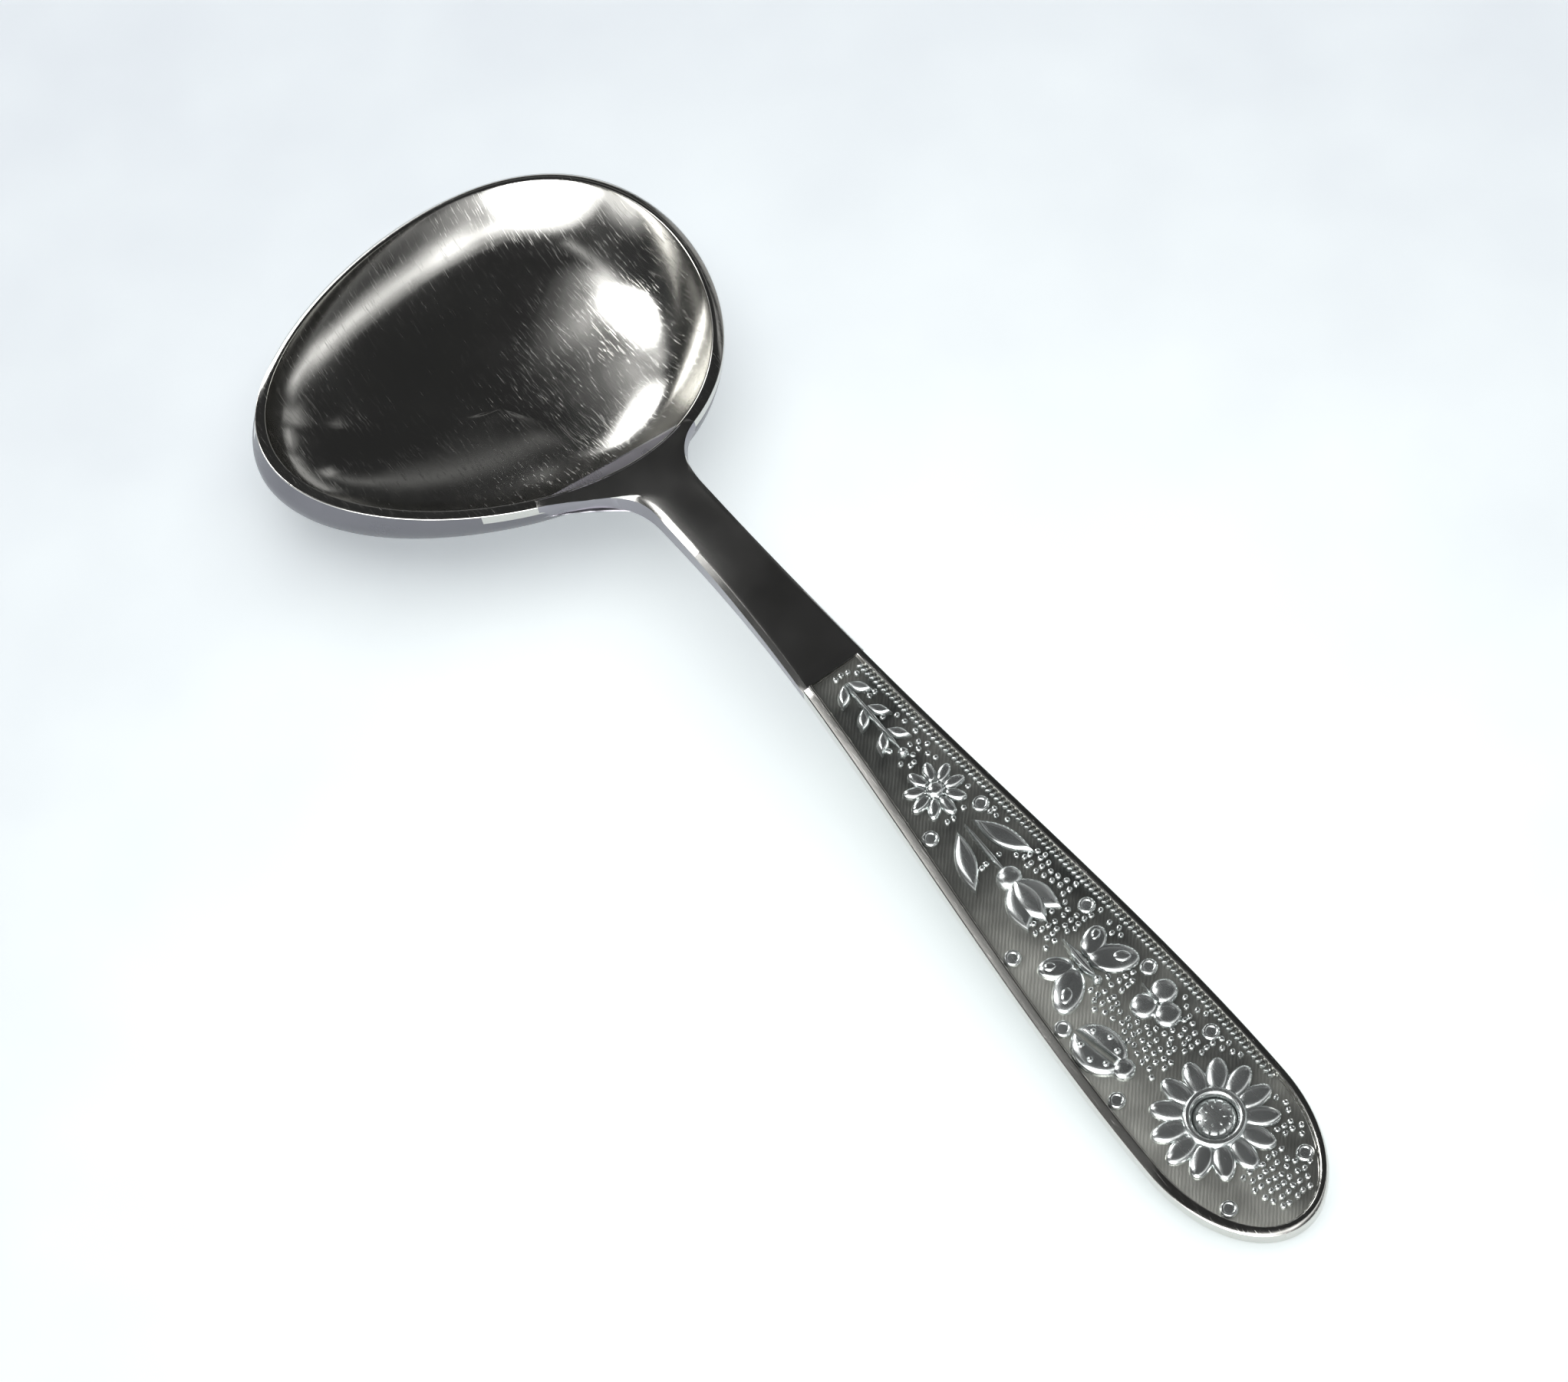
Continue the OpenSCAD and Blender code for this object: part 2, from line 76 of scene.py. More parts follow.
camera_place = Vector(CAMERA_MM) * MM
camera_turn = (Matrix.Rotation(radians(CAMERA_AZIMUTH), 3, "Z")
               @ Matrix.Rotation(radians(CAMERA_TILT), 3, "X")
               @ Matrix.Rotation(radians(CAMERA_ROLL), 3, "Z"))
bpy.ops.object.camera_add(location=camera_place, rotation=camera_turn.to_euler())
camera = bpy.context.object
camera.data.sensor_width = SENSOR_MM
camera.data.lens = LENS_MM
camera.data.clip_start = 10 * MM
bpy.context.scene.camera = camera
bpy.context.scene.view_settings.view_transform = "Standard"
print("camera distance, mm:", round(camera_place.length / MM))

# %% [markdown]
# ## Colours and nodes
# Colours are written as sRGB hex, the way a paint chart gives them. Blender mixes light in linear values,
# so one function converts them. A second one adds a node with its settings and links in a single call,
# and a third joins what a surface needs to its shader.

# %% Colour and node helpers
def linear(code):
    """The linear colour of an sRGB hex code."""
    parts = [int(code[i:i + 2], 16) / 255 for i in (1, 3, 5)]
    return [c / 12.92 if c <= 0.04045 else ((c + 0.055) / 1.055) ** 2.4 for c in parts] + [1]


def node(tree, kind, settings=None, **links):
    """A new node. Settings are its properties, and links are its inputs: an output, or a plain value."""
    made = tree.nodes.new(kind)
    for name, value in (settings or {}).items():
        setattr(made, name, value)
    for name, value in links.items():
        numbered = name[0] == "_"
        socket = made.inputs[int(name[1:])] if numbered else made.inputs[name.replace("_", " ")]
        if isinstance(value, bpy.types.NodeSocket):
            tree.links.new(value, socket)
        else:
            socket.default_value = value
    return made


def new_material(name):
    """An empty material, and its surface shader and object coordinates to start from."""
    material = bpy.data.materials.new(name)
    material.use_nodes = True
    tree = material.node_tree
    place = node(tree, "ShaderNodeTexCoord").outputs["Object"]
    return material, tree, tree.nodes["Principled BSDF"], place


def dress(tree, shader, tint, rough, bump, metal):
    """Joins a metal's colour, roughness and relief to its shader."""
    for name, output in (("Base Color", tint), ("Roughness", rough), ("Normal", bump)):
        tree.links.new(output, shader.inputs[name])
    shader.inputs["Metallic"].default_value = metal


print("mid grey is", round(linear("#808080")[0], 3), "in linear light")

# %% [markdown]
# ## The table
# The spoon lies on a smooth white board. It was photographed bright, so the board is almost white beside the
# handle and greyer towards the corners. That fall-off is a painted pool of light in the board's colour, as a
# lamp would only wash out the steel. Part of the board's brightness is seen by the camera and the steel
# alone, as in an overexposed photograph, so the shadow stays but is faint. A mottle keeps the board from
# looking flat.

# %% Make the table
BOARD_SIZE, BOARD_DROP = 1.6, 0.03 * MM
BRIGHT_REACH = 0.145
BOARD_GLOW = 0.45
# The painted pool of light runs from the grey corner tone to the white near the spoon.
BOARD_TONES = (("#D6DCE2", 0.05), ("#F5FCFD", 0.5))

material, tree, shader, place = new_material("white_melamine_board")
centred = node(tree, "ShaderNodeMapping", Vector=place, Location=(-0.34, 0.12, 0),
               Scale=(1 / BRIGHT_REACH, 1 / BRIGHT_REACH, 1)).outputs[0]
# Painted pool of light: the board's colour is brightest round the spoon and greyer towards the corners.
fall = node(tree, "ShaderNodeTexGradient", {"gradient_type": "QUADRATIC_SPHERE"},
            Vector=centred).outputs[1]
mottle = node(tree, "ShaderNodeTexNoise", Vector=place, Scale=60.0, Detail=3.0).outputs[0]
level = node(tree, "ShaderNodeMath", {"operation": "MULTIPLY_ADD"},
             _0=mottle, _1=0.25, _2=fall).outputs[0]
tone = node(tree, "ShaderNodeValToRGB", Fac=level)
for stop, (code, position) in zip(tone.color_ramp.elements, BOARD_TONES):
    stop.color, stop.position = linear(code), position
tree.links.new(tone.outputs[0], shader.inputs["Base Color"])
tree.links.new(tone.outputs[0], shader.inputs["Emission Color"])
path = node(tree, "ShaderNodeLightPath")
seen = node(tree, "ShaderNodeMath", {"operation": "MAXIMUM"}, _0=path.outputs["Is Camera Ray"],
            _1=path.outputs["Is Glossy Ray"]).outputs[0]
glow = node(tree, "ShaderNodeMath", {"operation": "MULTIPLY"}, _0=seen, _1=BOARD_GLOW).outputs[0]
tree.links.new(glow, shader.inputs["Emission Strength"])
shader.inputs["Roughness"].default_value = 0.7
shader.inputs["Specular IOR Level"].default_value = 0.2
bpy.ops.mesh.primitive_plane_add(size=BOARD_SIZE, location=(0.03, 0, -BOARD_DROP))
table = bpy.context.object
table.name = "table"
table.data.materials.append(material)
print("table is", round(table.dimensions.x, 2), "m wide")

# %% [markdown]
# ## The light
# Polished steel has no colour of its own: it shows the room. The room here is dark, and soft windows draw
# the bright shapes. A window is placed by its direction from the spoon, because that alone decides where
# the steel shows it. Its edge is soft because three panels of different size share the light. They hang one
# behind the other, as a mirror shows only one of several lamps that lie in the same plane. Windows serve
# the steel alone, and one large lamp overhead, which the steel doesn't mirror, lights the table.

# %% Lamp and window
LAMP_FAR, PANEL_STEP = 2.0, 0.05
LIT_PLACE = Vector((0.02, 0.0, 0.005))
PANELS = ((1, 0.15), (0, 0.3), (-1, 0.55))


def lamp(name, azimuth, elevation, wide, tall, radiance, shape="RECTANGLE", turn=0, mirrored=True,
         far=LAMP_FAR):
    """A lamp that faces the spoon. Its sizes are angles as the spoon sees them, in degrees, and its
    radiance is what a perfect mirror would show: 1 is white."""
    a, e = radians(azimuth), radians(elevation)
    toward = Vector((cos(a) * cos(e), sin(a) * cos(e), sin(e)))
    rotation = toward.to_track_quat("Z", "Y").to_matrix() @ Matrix.Rotation(radians(turn), 3, "Z")
    bpy.ops.object.light_add(type="AREA", location=LIT_PLACE + toward * far, rotation=rotation.to_euler())
    made = bpy.context.object
    made.name = name
    made.data.shape = shape
    made.data.size, made.data.size_y = (2 * far * tan(radians(w / 2)) for w in (wide, tall))
    made.data.energy = 4 * radiance * made.data.size * made.data.size_y
    made.visible_glossy, made.visible_diffuse = mirrored, not mirrored


def window(name, azimuth, elevation, wide, tall, radiance, soft=6, shape="RECTANGLE", turn=0):
    """Three panels whose light adds up. They differ by the soft angle in size, and the largest one is
    dim, so that a bright window has a soft edge too."""
    for k, (grow, share) in enumerate(PANELS):
        lamp(f"{name}_{k}", azimuth, elevation, wide + grow * soft, tall + grow * soft, radiance * share,
             shape, turn, far=LAMP_FAR + PANEL_STEP * k)


lamp("table_lamp", 122, 74, 80, 80, 1.1, mirrored=False)
print("a window's panels hang", LAMP_FAR, "m away and", PANEL_STEP / MM, "mm apart")

# %% [markdown]
# ## The windows
# Each window stands where the photographed steel shows a bright shape. An azimuth of 0 lies along the
# handle and 90 is on the far side of it. The bowl's far wall mirrors what is low on the camera's side, and
# its floor and the handle mirror what is high behind the bowl. After the two directions come the width
# and the height in degrees, the radiance, and how soft the edge is.

# %% Hang the windows
# The long band on the bowl's far side, and the glow between it and the rim
window("band_window", 26, 28, 56, 13, 1.05, 8, turn=-17)
window("band_end", 61, 12, 24, 12, 0.85, 8, turn=-24)
window("band_start", -18, 34, 46, 14, 1.2, 9, turn=-2)
window("low_glow", -20, 13, 26, 28, 0.6, 14)
window("lower_glow", -4, 14, 34, 24, 0.16, 12)
window("lowest_glow", 30, 4, 50, 12, 0.1, 8)
# The bright patch at the top of the bowl
window("bright_window", -54, 11, 62, 54, 4.5, 10, "ELLIPSE")
window("bright_window_top", -48, 37, 54, 9, 0.6, 6, "ELLIPSE", turn=3)
window("bright_window_side", -99, 6, 30, 24, 0.75, 7, "ELLIPSE")
# The round patch and its tail
window("round_window", -144, 37, 18, 30, 6, 3, "ELLIPSE")
window("round_window_lobe", -131, 49, 17, 12, 1.0, 5)
window("round_window_tail", -104, 46, 34, 5, 0.6, 3, turn=6)
window("round_window_foot", -158, 23, 8, 14, 0.5, 5, "ELLIPSE")
window("upper_haze", -158, 56, 12, 8, 0.5, 5)
window("upper_haze_side", -142, 61, 30, 12, 0.25, 11, "ELLIPSE")
# The patch at the bowl's heel, and the faint bands on the near side
window("heel_window", -177, 14, 17, 28, 5.0, 5, "ELLIPSE", turn=-10)
window("heel_window_side", 172, 10, 12, 14, 1.0, 4)
window("heel_haze", -167, 36, 14, 22, 0.4, 10, "ELLIPSE")
window("faint_strip", 134, 37, 52, 9, 0.13, 5)
window("edge_window", 106, 36, 12, 12, 0.25, 4)
window("side_window", 106, 11, 50, 22, 0.3, 6)
window("horizon_window", 161, 3, 44, 10, 0.6, 3)

world = bpy.data.worlds.new("dim_room")
world.use_nodes = True
background = world.node_tree.nodes["Background"].inputs
background["Color"].default_value = linear("#F0F2F4")
background["Strength"].default_value = 0.035
bpy.context.scene.world = world

# %% [markdown]
# ## Polished stainless steel
# The bowl is 18/10 stainless steel, pressed and then buffed on a cloth wheel. Buffing leaves a mirror with a
# slight haze, and years of washing add hairlines in every direction. The hairlines come from noise that is
# stretched fourteen times along one direction, at five angles, and they only touch the bump and the
# roughness, since a scratch has no pigment. The stem's top was brushed first and is duller. The bowl's
# outside was only tumbled among steel balls, and the stem's sides keep the skin of the rolled sheet, so both
# are rougher. Their darker, lavender-grey colour is painted shade: it stands in for the shadowed table under
# the spoon that they mirror.

# %% Mirror steel
HAIRLINE_PITCH, HAIRLINE_STRETCH = 0.16, 14
HAIRLINE_CUT, HAIRLINE_EDGE = 0.64, 0.08
ROUGH_PER_MM = 40
BUFF_ANGLES = (12, 48, 79, 118, 157)


def hairlines(tree, place, angles):
    """Fine straight scratches: for each angle a stretched noise, cut to thin lines, all added up."""
    across = 1 / (HAIRLINE_PITCH * MM)
    along = across / HAIRLINE_STRETCH
    total = 0.0
    for k, angle in enumerate(angles):
        turned = node(tree, "ShaderNodeMapping", Vector=place, Rotation=(0, 0, radians(angle)),
                      Location=(0.01 * k, 0.02 * k, 0.0), Scale=(along, across, along)).outputs[0]
        grain = node(tree, "ShaderNodeTexNoise", Vector=turned, Scale=1.0, Detail=2.0,
                     Roughness=0.6).outputs[0]
        line = node(tree, "ShaderNodeMapRange", Value=grain, _1=HAIRLINE_CUT,
                    _2=HAIRLINE_CUT + HAIRLINE_EDGE, _3=0.0, _4=1.0).outputs[0]
        total = node(tree, "ShaderNodeMath", {"operation": "ADD"}, _0=line, _1=total).outputs[0]
    return total


def mirror_steel(name, colours, smooth, haze, scratch_mm, angles=BUFF_ANGLES, metal=1.0):
    """Polished steel. Its roughness drifts between smooth and haze, and its scratches have a depth."""
    material, tree, shader, place = new_material(name)
    scratches = hairlines(tree, place, angles)
    cloud = node(tree, "ShaderNodeTexNoise", Vector=place, Scale=160.0, Detail=4.0).outputs[0]
    patchy = node(tree, "ShaderNodeMapRange", Value=cloud, _1=0.35, _2=0.7, _3=smooth,
                  _4=haze).outputs[0]
    rough = node(tree, "ShaderNodeMath", {"operation": "MULTIPLY_ADD", "use_clamp": True},
                 _0=scratches, _1=ROUGH_PER_MM * scratch_mm, _2=patchy).outputs[0]
    tint = node(tree, "ShaderNodeMix", {"data_type": "RGBA"}, Factor=cloud, _6=linear(colours[0]),
                _7=linear(colours[1])).outputs[2]
    bump = node(tree, "ShaderNodeBump", {"invert": True}, Height=scratches,
                Distance=scratch_mm * MM, Strength=1.0).outputs[0]
    dress(tree, shader, tint, rough, bump, metal)
    return material


bowl_steel = mirror_steel("buffed_stainless_steel", ("#C8C7C2", "#D8D7D3"), 0.11, 0.19, 0.0025)
# Painted shade: the outside's dark lavender-grey colour stands in for the shadowed table it mirrors; its
# roughness is the tumbled finish.
outside_shaded_steel = mirror_steel("tumbled_steel_painted_shade", ("#727177", "#818085"), 0.26, 0.36, 0.001)
# Painted shade: the stem's sides get a darker lavender-grey colour for the shadowed table they mirror.
side_steel = mirror_steel("rolled_side_steel_painted_shade", ("#908E95", "#A09EA4"), 0.26, 0.36, 0.001)
stem_steel = mirror_steel("brushed_out_stainless_steel", ("#C2C1BD", "#D0CFCC"), 0.19, 0.26, 0.0002)
print("hairline pitch, mm:", HAIRLINE_PITCH)

# %% [markdown]
# ## Relief steel and the panel's ground
# The die presses the relief in the same steel, but the wheel can't reach into it. The high spots are bright
# and a little soft. The ground between the motifs is left as the die made it: satin, with fine lines about
# 0.3 mm apart, coarser than real ones, so that they show from the camera's distance. The ground's colour is
# painted light and shade: dark near the shank, and lighter towards the round end on the camera's side, with
# a noise that varies it at random. Both steels are a little less than fully metallic: the rest stands in for
# the light that a fine grain scatters.

# %% Relief and ground finishes
GROUND_LINE_PITCH, GROUND_DEPTH = 0.3, 0.016
# Where the painted light on the ground changes, in mm across and along the panel, and the shares it goes
# between.
PAINTED_LIGHT_ACROSS, PAINTED_LIGHT_ALONG = (-1, 8, 0.75, 0.05), (58, 88, 0.1, 1.0)

relief_steel = mirror_steel("pressed_stainless_steel", ("#CCD0CF", "#E9EDEC"), 0.18, 0.32, 0.001,
                            (30, 100), 0.9)


def ramp(tree, value, start_mm, end_mm, low, high):
    """Changes from low to high between two places along an axis."""
    return node(tree, "ShaderNodeMapRange", Value=value, _1=start_mm * MM, _2=end_mm * MM, _3=low,
                _4=high).outputs[0]


def satin_ground(name):
    """Die-pressed steel with fine slanted lines. Its colour is painted light and shade: dark near the shank,
    lighter on the camera's side towards the round end, and a noise varies it at random.
    """
    material, tree, shader, place = new_material(name)
    cloud = node(tree, "ShaderNodeTexNoise", Vector=place, Scale=420.0, Detail=5.0).outputs[0]
    lines = node(tree, "ShaderNodeTexWave", {"bands_direction": "DIAGONAL"}, Vector=place,
                 Scale=1 / (GROUND_LINE_PITCH * MM * 2), Distortion=2.0, Detail=2.0).outputs[1]
    height = node(tree, "ShaderNodeMath", {"operation": "MULTIPLY_ADD"},
                  _0=cloud, _1=1.4, _2=lines).outputs[0]
    bump = node(tree, "ShaderNodeBump", Height=height, Distance=GROUND_DEPTH * MM,
                Strength=1.0).outputs[0]
    drift = node(tree, "ShaderNodeTexNoise", Vector=place, Scale=110.0, Detail=3.0,
                 Roughness=0.6).outputs[0]
    axes = node(tree, "ShaderNodeSeparateXYZ", Vector=place).outputs
    # Painted light: the ground is lighter on the camera's side towards the round end, and darker near the
    # shank.
    shade = node(tree, "ShaderNodeMath", {"operation": "MULTIPLY"},
                 _0=ramp(tree, axes[1], *PAINTED_LIGHT_ACROSS), _1=ramp(tree, axes[0], *PAINTED_LIGHT_ALONG)).outputs[0]
    drift_and_painted_light = node(tree, "ShaderNodeMath", {"operation": "MULTIPLY_ADD", "use_clamp": True},
                _0=drift, _1=1.3, _2=-0.5).outputs[0]
    drift_and_painted_light = node(tree, "ShaderNodeMath", {"operation": "ADD", "use_clamp": True},
                _0=drift_and_painted_light, _1=shade).outputs[0]
    tint = node(tree, "ShaderNodeMix", {"data_type": "RGBA"}, Factor=drift_and_painted_light, _6=linear("#3F4241"),
                _7=linear("#DEDFD7")).outputs[2]
    rough = node(tree, "ShaderNodeMapRange", Value=cloud, _1=0.3, _2=0.7, _3=0.28, _4=0.5).outputs[0]
    dress(tree, shader, tint, rough, bump, 0.7)
    return material


ground_steel = satin_ground("satin_die_pressed_steel")
print("ground lines, mm apart:", GROUND_LINE_PITCH)

# %% [markdown]
# ## Skins laid ring by ring
# Bowl, stem, handle and every raised motif are skins through rings of corners. By hand one would add a
# circle, extrude its edge and move each new ring into shape. The helpers do just that: a layer in the mesh
# numbers the corners once, and extrusion copies the numbers, so a rule can say where corner k belongs.

# %% Ring helpers
def only(obj):
    """Selects one object and nothing else."""
    bpy.ops.object.select_all(action="DESELECT")
    obj.select_set(True)
    bpy.context.view_layer.objects.active = obj


def lay_ring(place):
    """Moves the selected corners to where place(number) says, in mm."""
    bm = bmesh.from_edit_mesh(bpy.context.edit_object.data)
    number = bm.verts.layers.int["number"]
    for corner in bm.verts:
        if corner.select:
            corner.co = Vector(place(corner[number])) * MM
    bmesh.update_edit_mesh(bpy.context.edit_object.data)


def first_ring(name, count, place):
    """Starts a skin: a circle in edit mode whose corners are numbered and laid in their places."""
    bpy.ops.object.select_all(action="DESELECT")
    bpy.ops.mesh.primitive_circle_add(vertices=count, radius=MM)
    made = bpy.context.object
    made.name = made.data.name = name
    bpy.ops.object.mode_set(mode="EDIT")
    bpy.ops.mesh.select_mode(type="VERT")
    bm = bmesh.from_edit_mesh(made.data)
    number = bm.verts.layers.int.new("number")
    start = bm.verts.layers.int.new("start")
    bm.verts.ensure_lookup_table()
    for corner in bm.verts:
        corner[number], corner[start] = corner.index, 1
    bmesh.update_edit_mesh(made.data)
    lay_ring(place)
    return made


def next_ring(place):
    """Extrudes the selected ring and lays the new one."""
    bpy.ops.mesh.extrude_edges_indiv()
    bm = bmesh.from_edit_mesh(bpy.context.edit_object.data)
    start = bm.verts.layers.int["start"]
    for corner in bm.verts:
        if corner.select:
            corner[start] = 0
    lay_ring(place)


def select_first_ring():
    """Goes back to where the skin started, to close it or to build on from there."""
    bpy.ops.mesh.select_all(action="DESELECT")
    bm = bmesh.from_edit_mesh(bpy.context.edit_object.data)
    start = bm.verts.layers.int["start"]
    for corner in bm.verts:
        corner.select = corner[start] == 1
    bm.select_flush(True)
    bmesh.update_edit_mesh(bpy.context.edit_object.data)


def close_to_point(place):
    """Shuts a skin at a pole: the selected ring shrinks to one corner."""
    bpy.ops.mesh.extrude_edges_indiv()
    lay_ring(lambda k: place)
    bpy.ops.mesh.merge(type="CENTER")


def end_skin():
    """Turns the skin the right way out and leaves edit mode."""
    bpy.ops.mesh.select_all(action="SELECT")
    bpy.ops.mesh.normals_make_consistent(inside=False)
    bpy.ops.object.mode_set(mode="OBJECT")
    return bpy.context.object


# %% [markdown]
# ## Finishing a piece
# A pressing has no knife edges, so sharp edges are rounded with a bevel. Weighted normals then keep the
# large faces flat to the eye, and only the rounding bends the light. Last a piece gets its steel, and the
# frame is told which CAD nodes it stands for. Everything rides on the one body, as nothing moves.

# %% Finishing helpers
BEVEL_SEGMENTS = 2


def soften(obj, width_mm, angle):
    """Rounds the edges that are sharper than an angle in degrees."""
    only(obj)
    bpy.ops.object.modifier_add(type="BEVEL")
    bevel = obj.modifiers[-1]
    bevel.limit_method, bevel.angle_limit = "ANGLE", radians(angle)
    bevel.width, bevel.segments = width_mm * MM, BEVEL_SEGMENTS
    bpy.ops.object.modifier_apply(modifier=bevel.name)


def flatten_shading(obj):
    """Lets the large faces keep their flat shading."""
    only(obj)
    bpy.ops.object.modifier_add(type="WEIGHTED_NORMAL")
    weighted = obj.modifiers[-1]
    weighted.keep_sharp = True
    bpy.ops.object.modifier_apply(modifier=weighted.name)


def finish_piece(obj, material, nodes, smooth_angle=30):
    """Smooths a piece, dresses it and says which CAD nodes it stands for."""
    only(obj)
    bpy.ops.object.shade_smooth_by_angle(angle=radians(smooth_angle))
    obj.data.materials.clear()
    obj.data.materials.append(material)
    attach(obj, "root")
    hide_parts(*nodes)
    print(obj.name, len(obj.data.polygons), "faces")


def second_steel(obj, material, chosen):
    """Gives the chosen faces a steel of their own."""
    obj.data.materials.append(material)
    for face in obj.data.polygons:
        if chosen(face):
            face.material_index = 1


# %% [markdown]
# ## The bowl's form
# Seen from above the bowl is an egg, 42 by 35.6 mm, turned so that the child can eat without bending the
# wrist. A ring of the skin is a number of degrees on the way down, 0 at the rim and 90 at the bottom. The
# egg is drawn in by a power of its cosine and let down by a power of its sine. On the near side both powers
# are alike, and the section is a squarish arc. On the far side they part, so that the wall comes down
# straight and leaning, as its long straight highlight shows. Towards the bottom the section eases into a
# plain round, so that the mirror has no pinch there.

# %% The bowl in formulas
BOWL_LEN, BOWL_WID, BOWL_TURN = 41.94, 35.54, radians(78)
RIM_H, BOWL_WALL, RIM_LAND, RIM_EDGE = 9.0, 1.1, 1.0, 0.6
LAST_RING, BOTTOM_RING = 80, 90
FAR_ACROSS, FAR_DOWN = 3.2, 1.1
# The middle of the far side in degrees round the egg, and the cosines between which it fades in
FAR_INSIDE, FAR_OUTSIDE = (57, -0.82, -0.26), (70, -0.5, 0.17)
ROUND_FROM = 45
TIP = radians(168)
SWELL_OUT, SWELL_IN = 0.027, 0.4


def egg(t, length, width):
    """The bowl's outline, broad towards its heel and slim towards its tip."""
    x = length / 2 * cos(t)
    y = width / 2 * sin(t) * (1 + 0.21 * cos(t) + 0.05 * cos(t) ** 2)
    return Vector((x * cos(BOWL_TURN) - y * sin(BOWL_TURN), x * sin(BOWL_TURN) + y * cos(BOWL_TURN)))


def ease(u):
    """A smooth step from 0 to 1."""
    u = min(1, max(0, u))
    return u * u * (3 - 2 * u)


def far_share(t, middle, low, high):
    """1 on the far side of the bowl and 0 on the near side, with a smooth change between."""
    return ease((cos(t - radians(middle)) - low) / (high - low))


def shares(t, ring, far, round_from=BOTTOM_RING):
    """How far a ring is drawn in and let down. Past round_from the section eases into a plain round."""
    near = 2.45 - 0.75 * cos(t + radians(40))
    across_power = near + (FAR_ACROSS - near) * far_share(t, *FAR_INSIDE)
    down_power = near + (FAR_DOWN - near) * far_share(t, *far)
    if ring > round_from:
        rounder = ease((ring - round_from) / (BOTTOM_RING - round_from))
        across_power += (2 - across_power) * rounder
        down_power += (2 - down_power) * rounder * (1 - far_share(t, *far))
    across = max(0.0, cos(radians(ring))) ** (2 / across_power)
    down = (sin(radians(ring)) / sin(radians(LAST_RING))) ** (2 / down_power)
    return across, down


def swell(t, down, point):
    """The wall swells a little beyond the egg at the tip, most at a third of the depth."""
    depth = min(1, down)
    return point.normalized() * (BOWL_LEN * SWELL_OUT * 27 / 4 * depth * (1 - depth) ** 2
                                 * max(0, cos(t - TIP)) ** 2)


def inner_point(t, ring):
    across, down = shares(t, ring, FAR_INSIDE, ROUND_FROM)
    point = egg(t, BOWL_LEN - 2 * RIM_LAND, BOWL_WID - 2 * RIM_LAND)
    point = point * across + swell(t, down, point) * SWELL_IN
    return point.x, point.y, RIM_H - (RIM_H - BOWL_WALL) * down


def outer_point(t, ring):
    across, down = shares(t, ring, FAR_OUTSIDE)
    point = egg(t, BOWL_LEN, BOWL_WID)
    point = point * across + swell(t, down, point)
    return point.x, point.y, max(0, (RIM_H - RIM_EDGE) * (1 - down))


print("tip of the bowl, mm:", [round(c, 1) for c in outer_point(pi, 0)])

# %% [markdown]
# ## The bowl as a mesh
# The skin starts at the inner edge of the rim. One run of rings goes down inside to the bottom, and a
# second run goes over the land of the rim and down outside to the foot. The rings crowd together near the
# rim, where the wall turns fastest. Three rings break the inner edge. The wheel has made the outer half of
# the land lean outwards on the far side, and has rounded the outer edge, which eight rings follow.

# %% Model the bowl
FACETS = 160
RINGS = [1.0, 2.6, 4.3, 6.4, 9, 12, 15.5, 19.5, 24, 28.5, 33, 38, 43, 48, 53, 58, 63, 68, 73, 78, 83, 87]
INNER_BREAK, EDGE_ROUND, LAND_FLAT = 0.12, 0.25, 0.45
RIM_LEAN, RIM_FAR = radians(38), radians(60)
RIM_TURNS = (-0.1, 0, 0.15, 0.3, 0.45, 0.6, 0.8, 1)


def round_angle(k):
    return 2 * pi * k / FACETS


def rim_point(t):
    """The outline of the rim, as if its edge were sharp."""
    point = outer_point(t, 0)
    return point[0], point[1], RIM_H


def rim_lean(t):
    """How far the outer half of the land leans outwards. It stays level on the near side."""
    return RIM_LEAN * ease((cos(t - RIM_FAR) + 0.3) / 0.5)


def land_end(t):
    """Where the level half of the land ends."""
    point = Vector(rim_point(t))
    return point - Vector((point.x, point.y, 0)).normalized() * (RIM_LAND - LAND_FLAT)


def rim_edge(t, turn):
    """A place on the rim's outer edge: turn 0 is where the leaning land ends, and 1 is on the outer wall."""
    point, lean = Vector(rim_point(t)), rim_lean(t)
    inward = -Vector((point.x, point.y, 0)).normalized()
    tilt = lean + (pi / 2 - lean) * turn
    bend = EDGE_ROUND * (0.45 + 0.55 * lean / RIM_LEAN)
    reach = RIM_LAND - LAND_FLAT - bend * (1 - sin(lean))
    drop = reach * tan(lean) + bend * (cos(lean) - cos(tilt))
    return point + inward * bend * (1 - sin(tilt)) - Vector((0, 0, drop))


def inner_edge(t, turn):
    """A place on the broken inner edge."""
    point = Vector(inner_point(t, 0))
    outward = Vector((point.x, point.y, 0)).normalized()
    return (point + outward * INNER_BREAK * (1 - cos(turn))
            - Vector((0, 0, INNER_BREAK * (1 - sin(turn)))))


def is_outside(face):
    """True for the bowl's outer wall and its underside."""
    middle = face.center
    on_wall = middle.z < (RIM_H - RIM_EDGE) * MM and face.normal.dot(Vector((middle.x, middle.y, 0))) > 0
    return on_wall or face.normal.z < -0.3


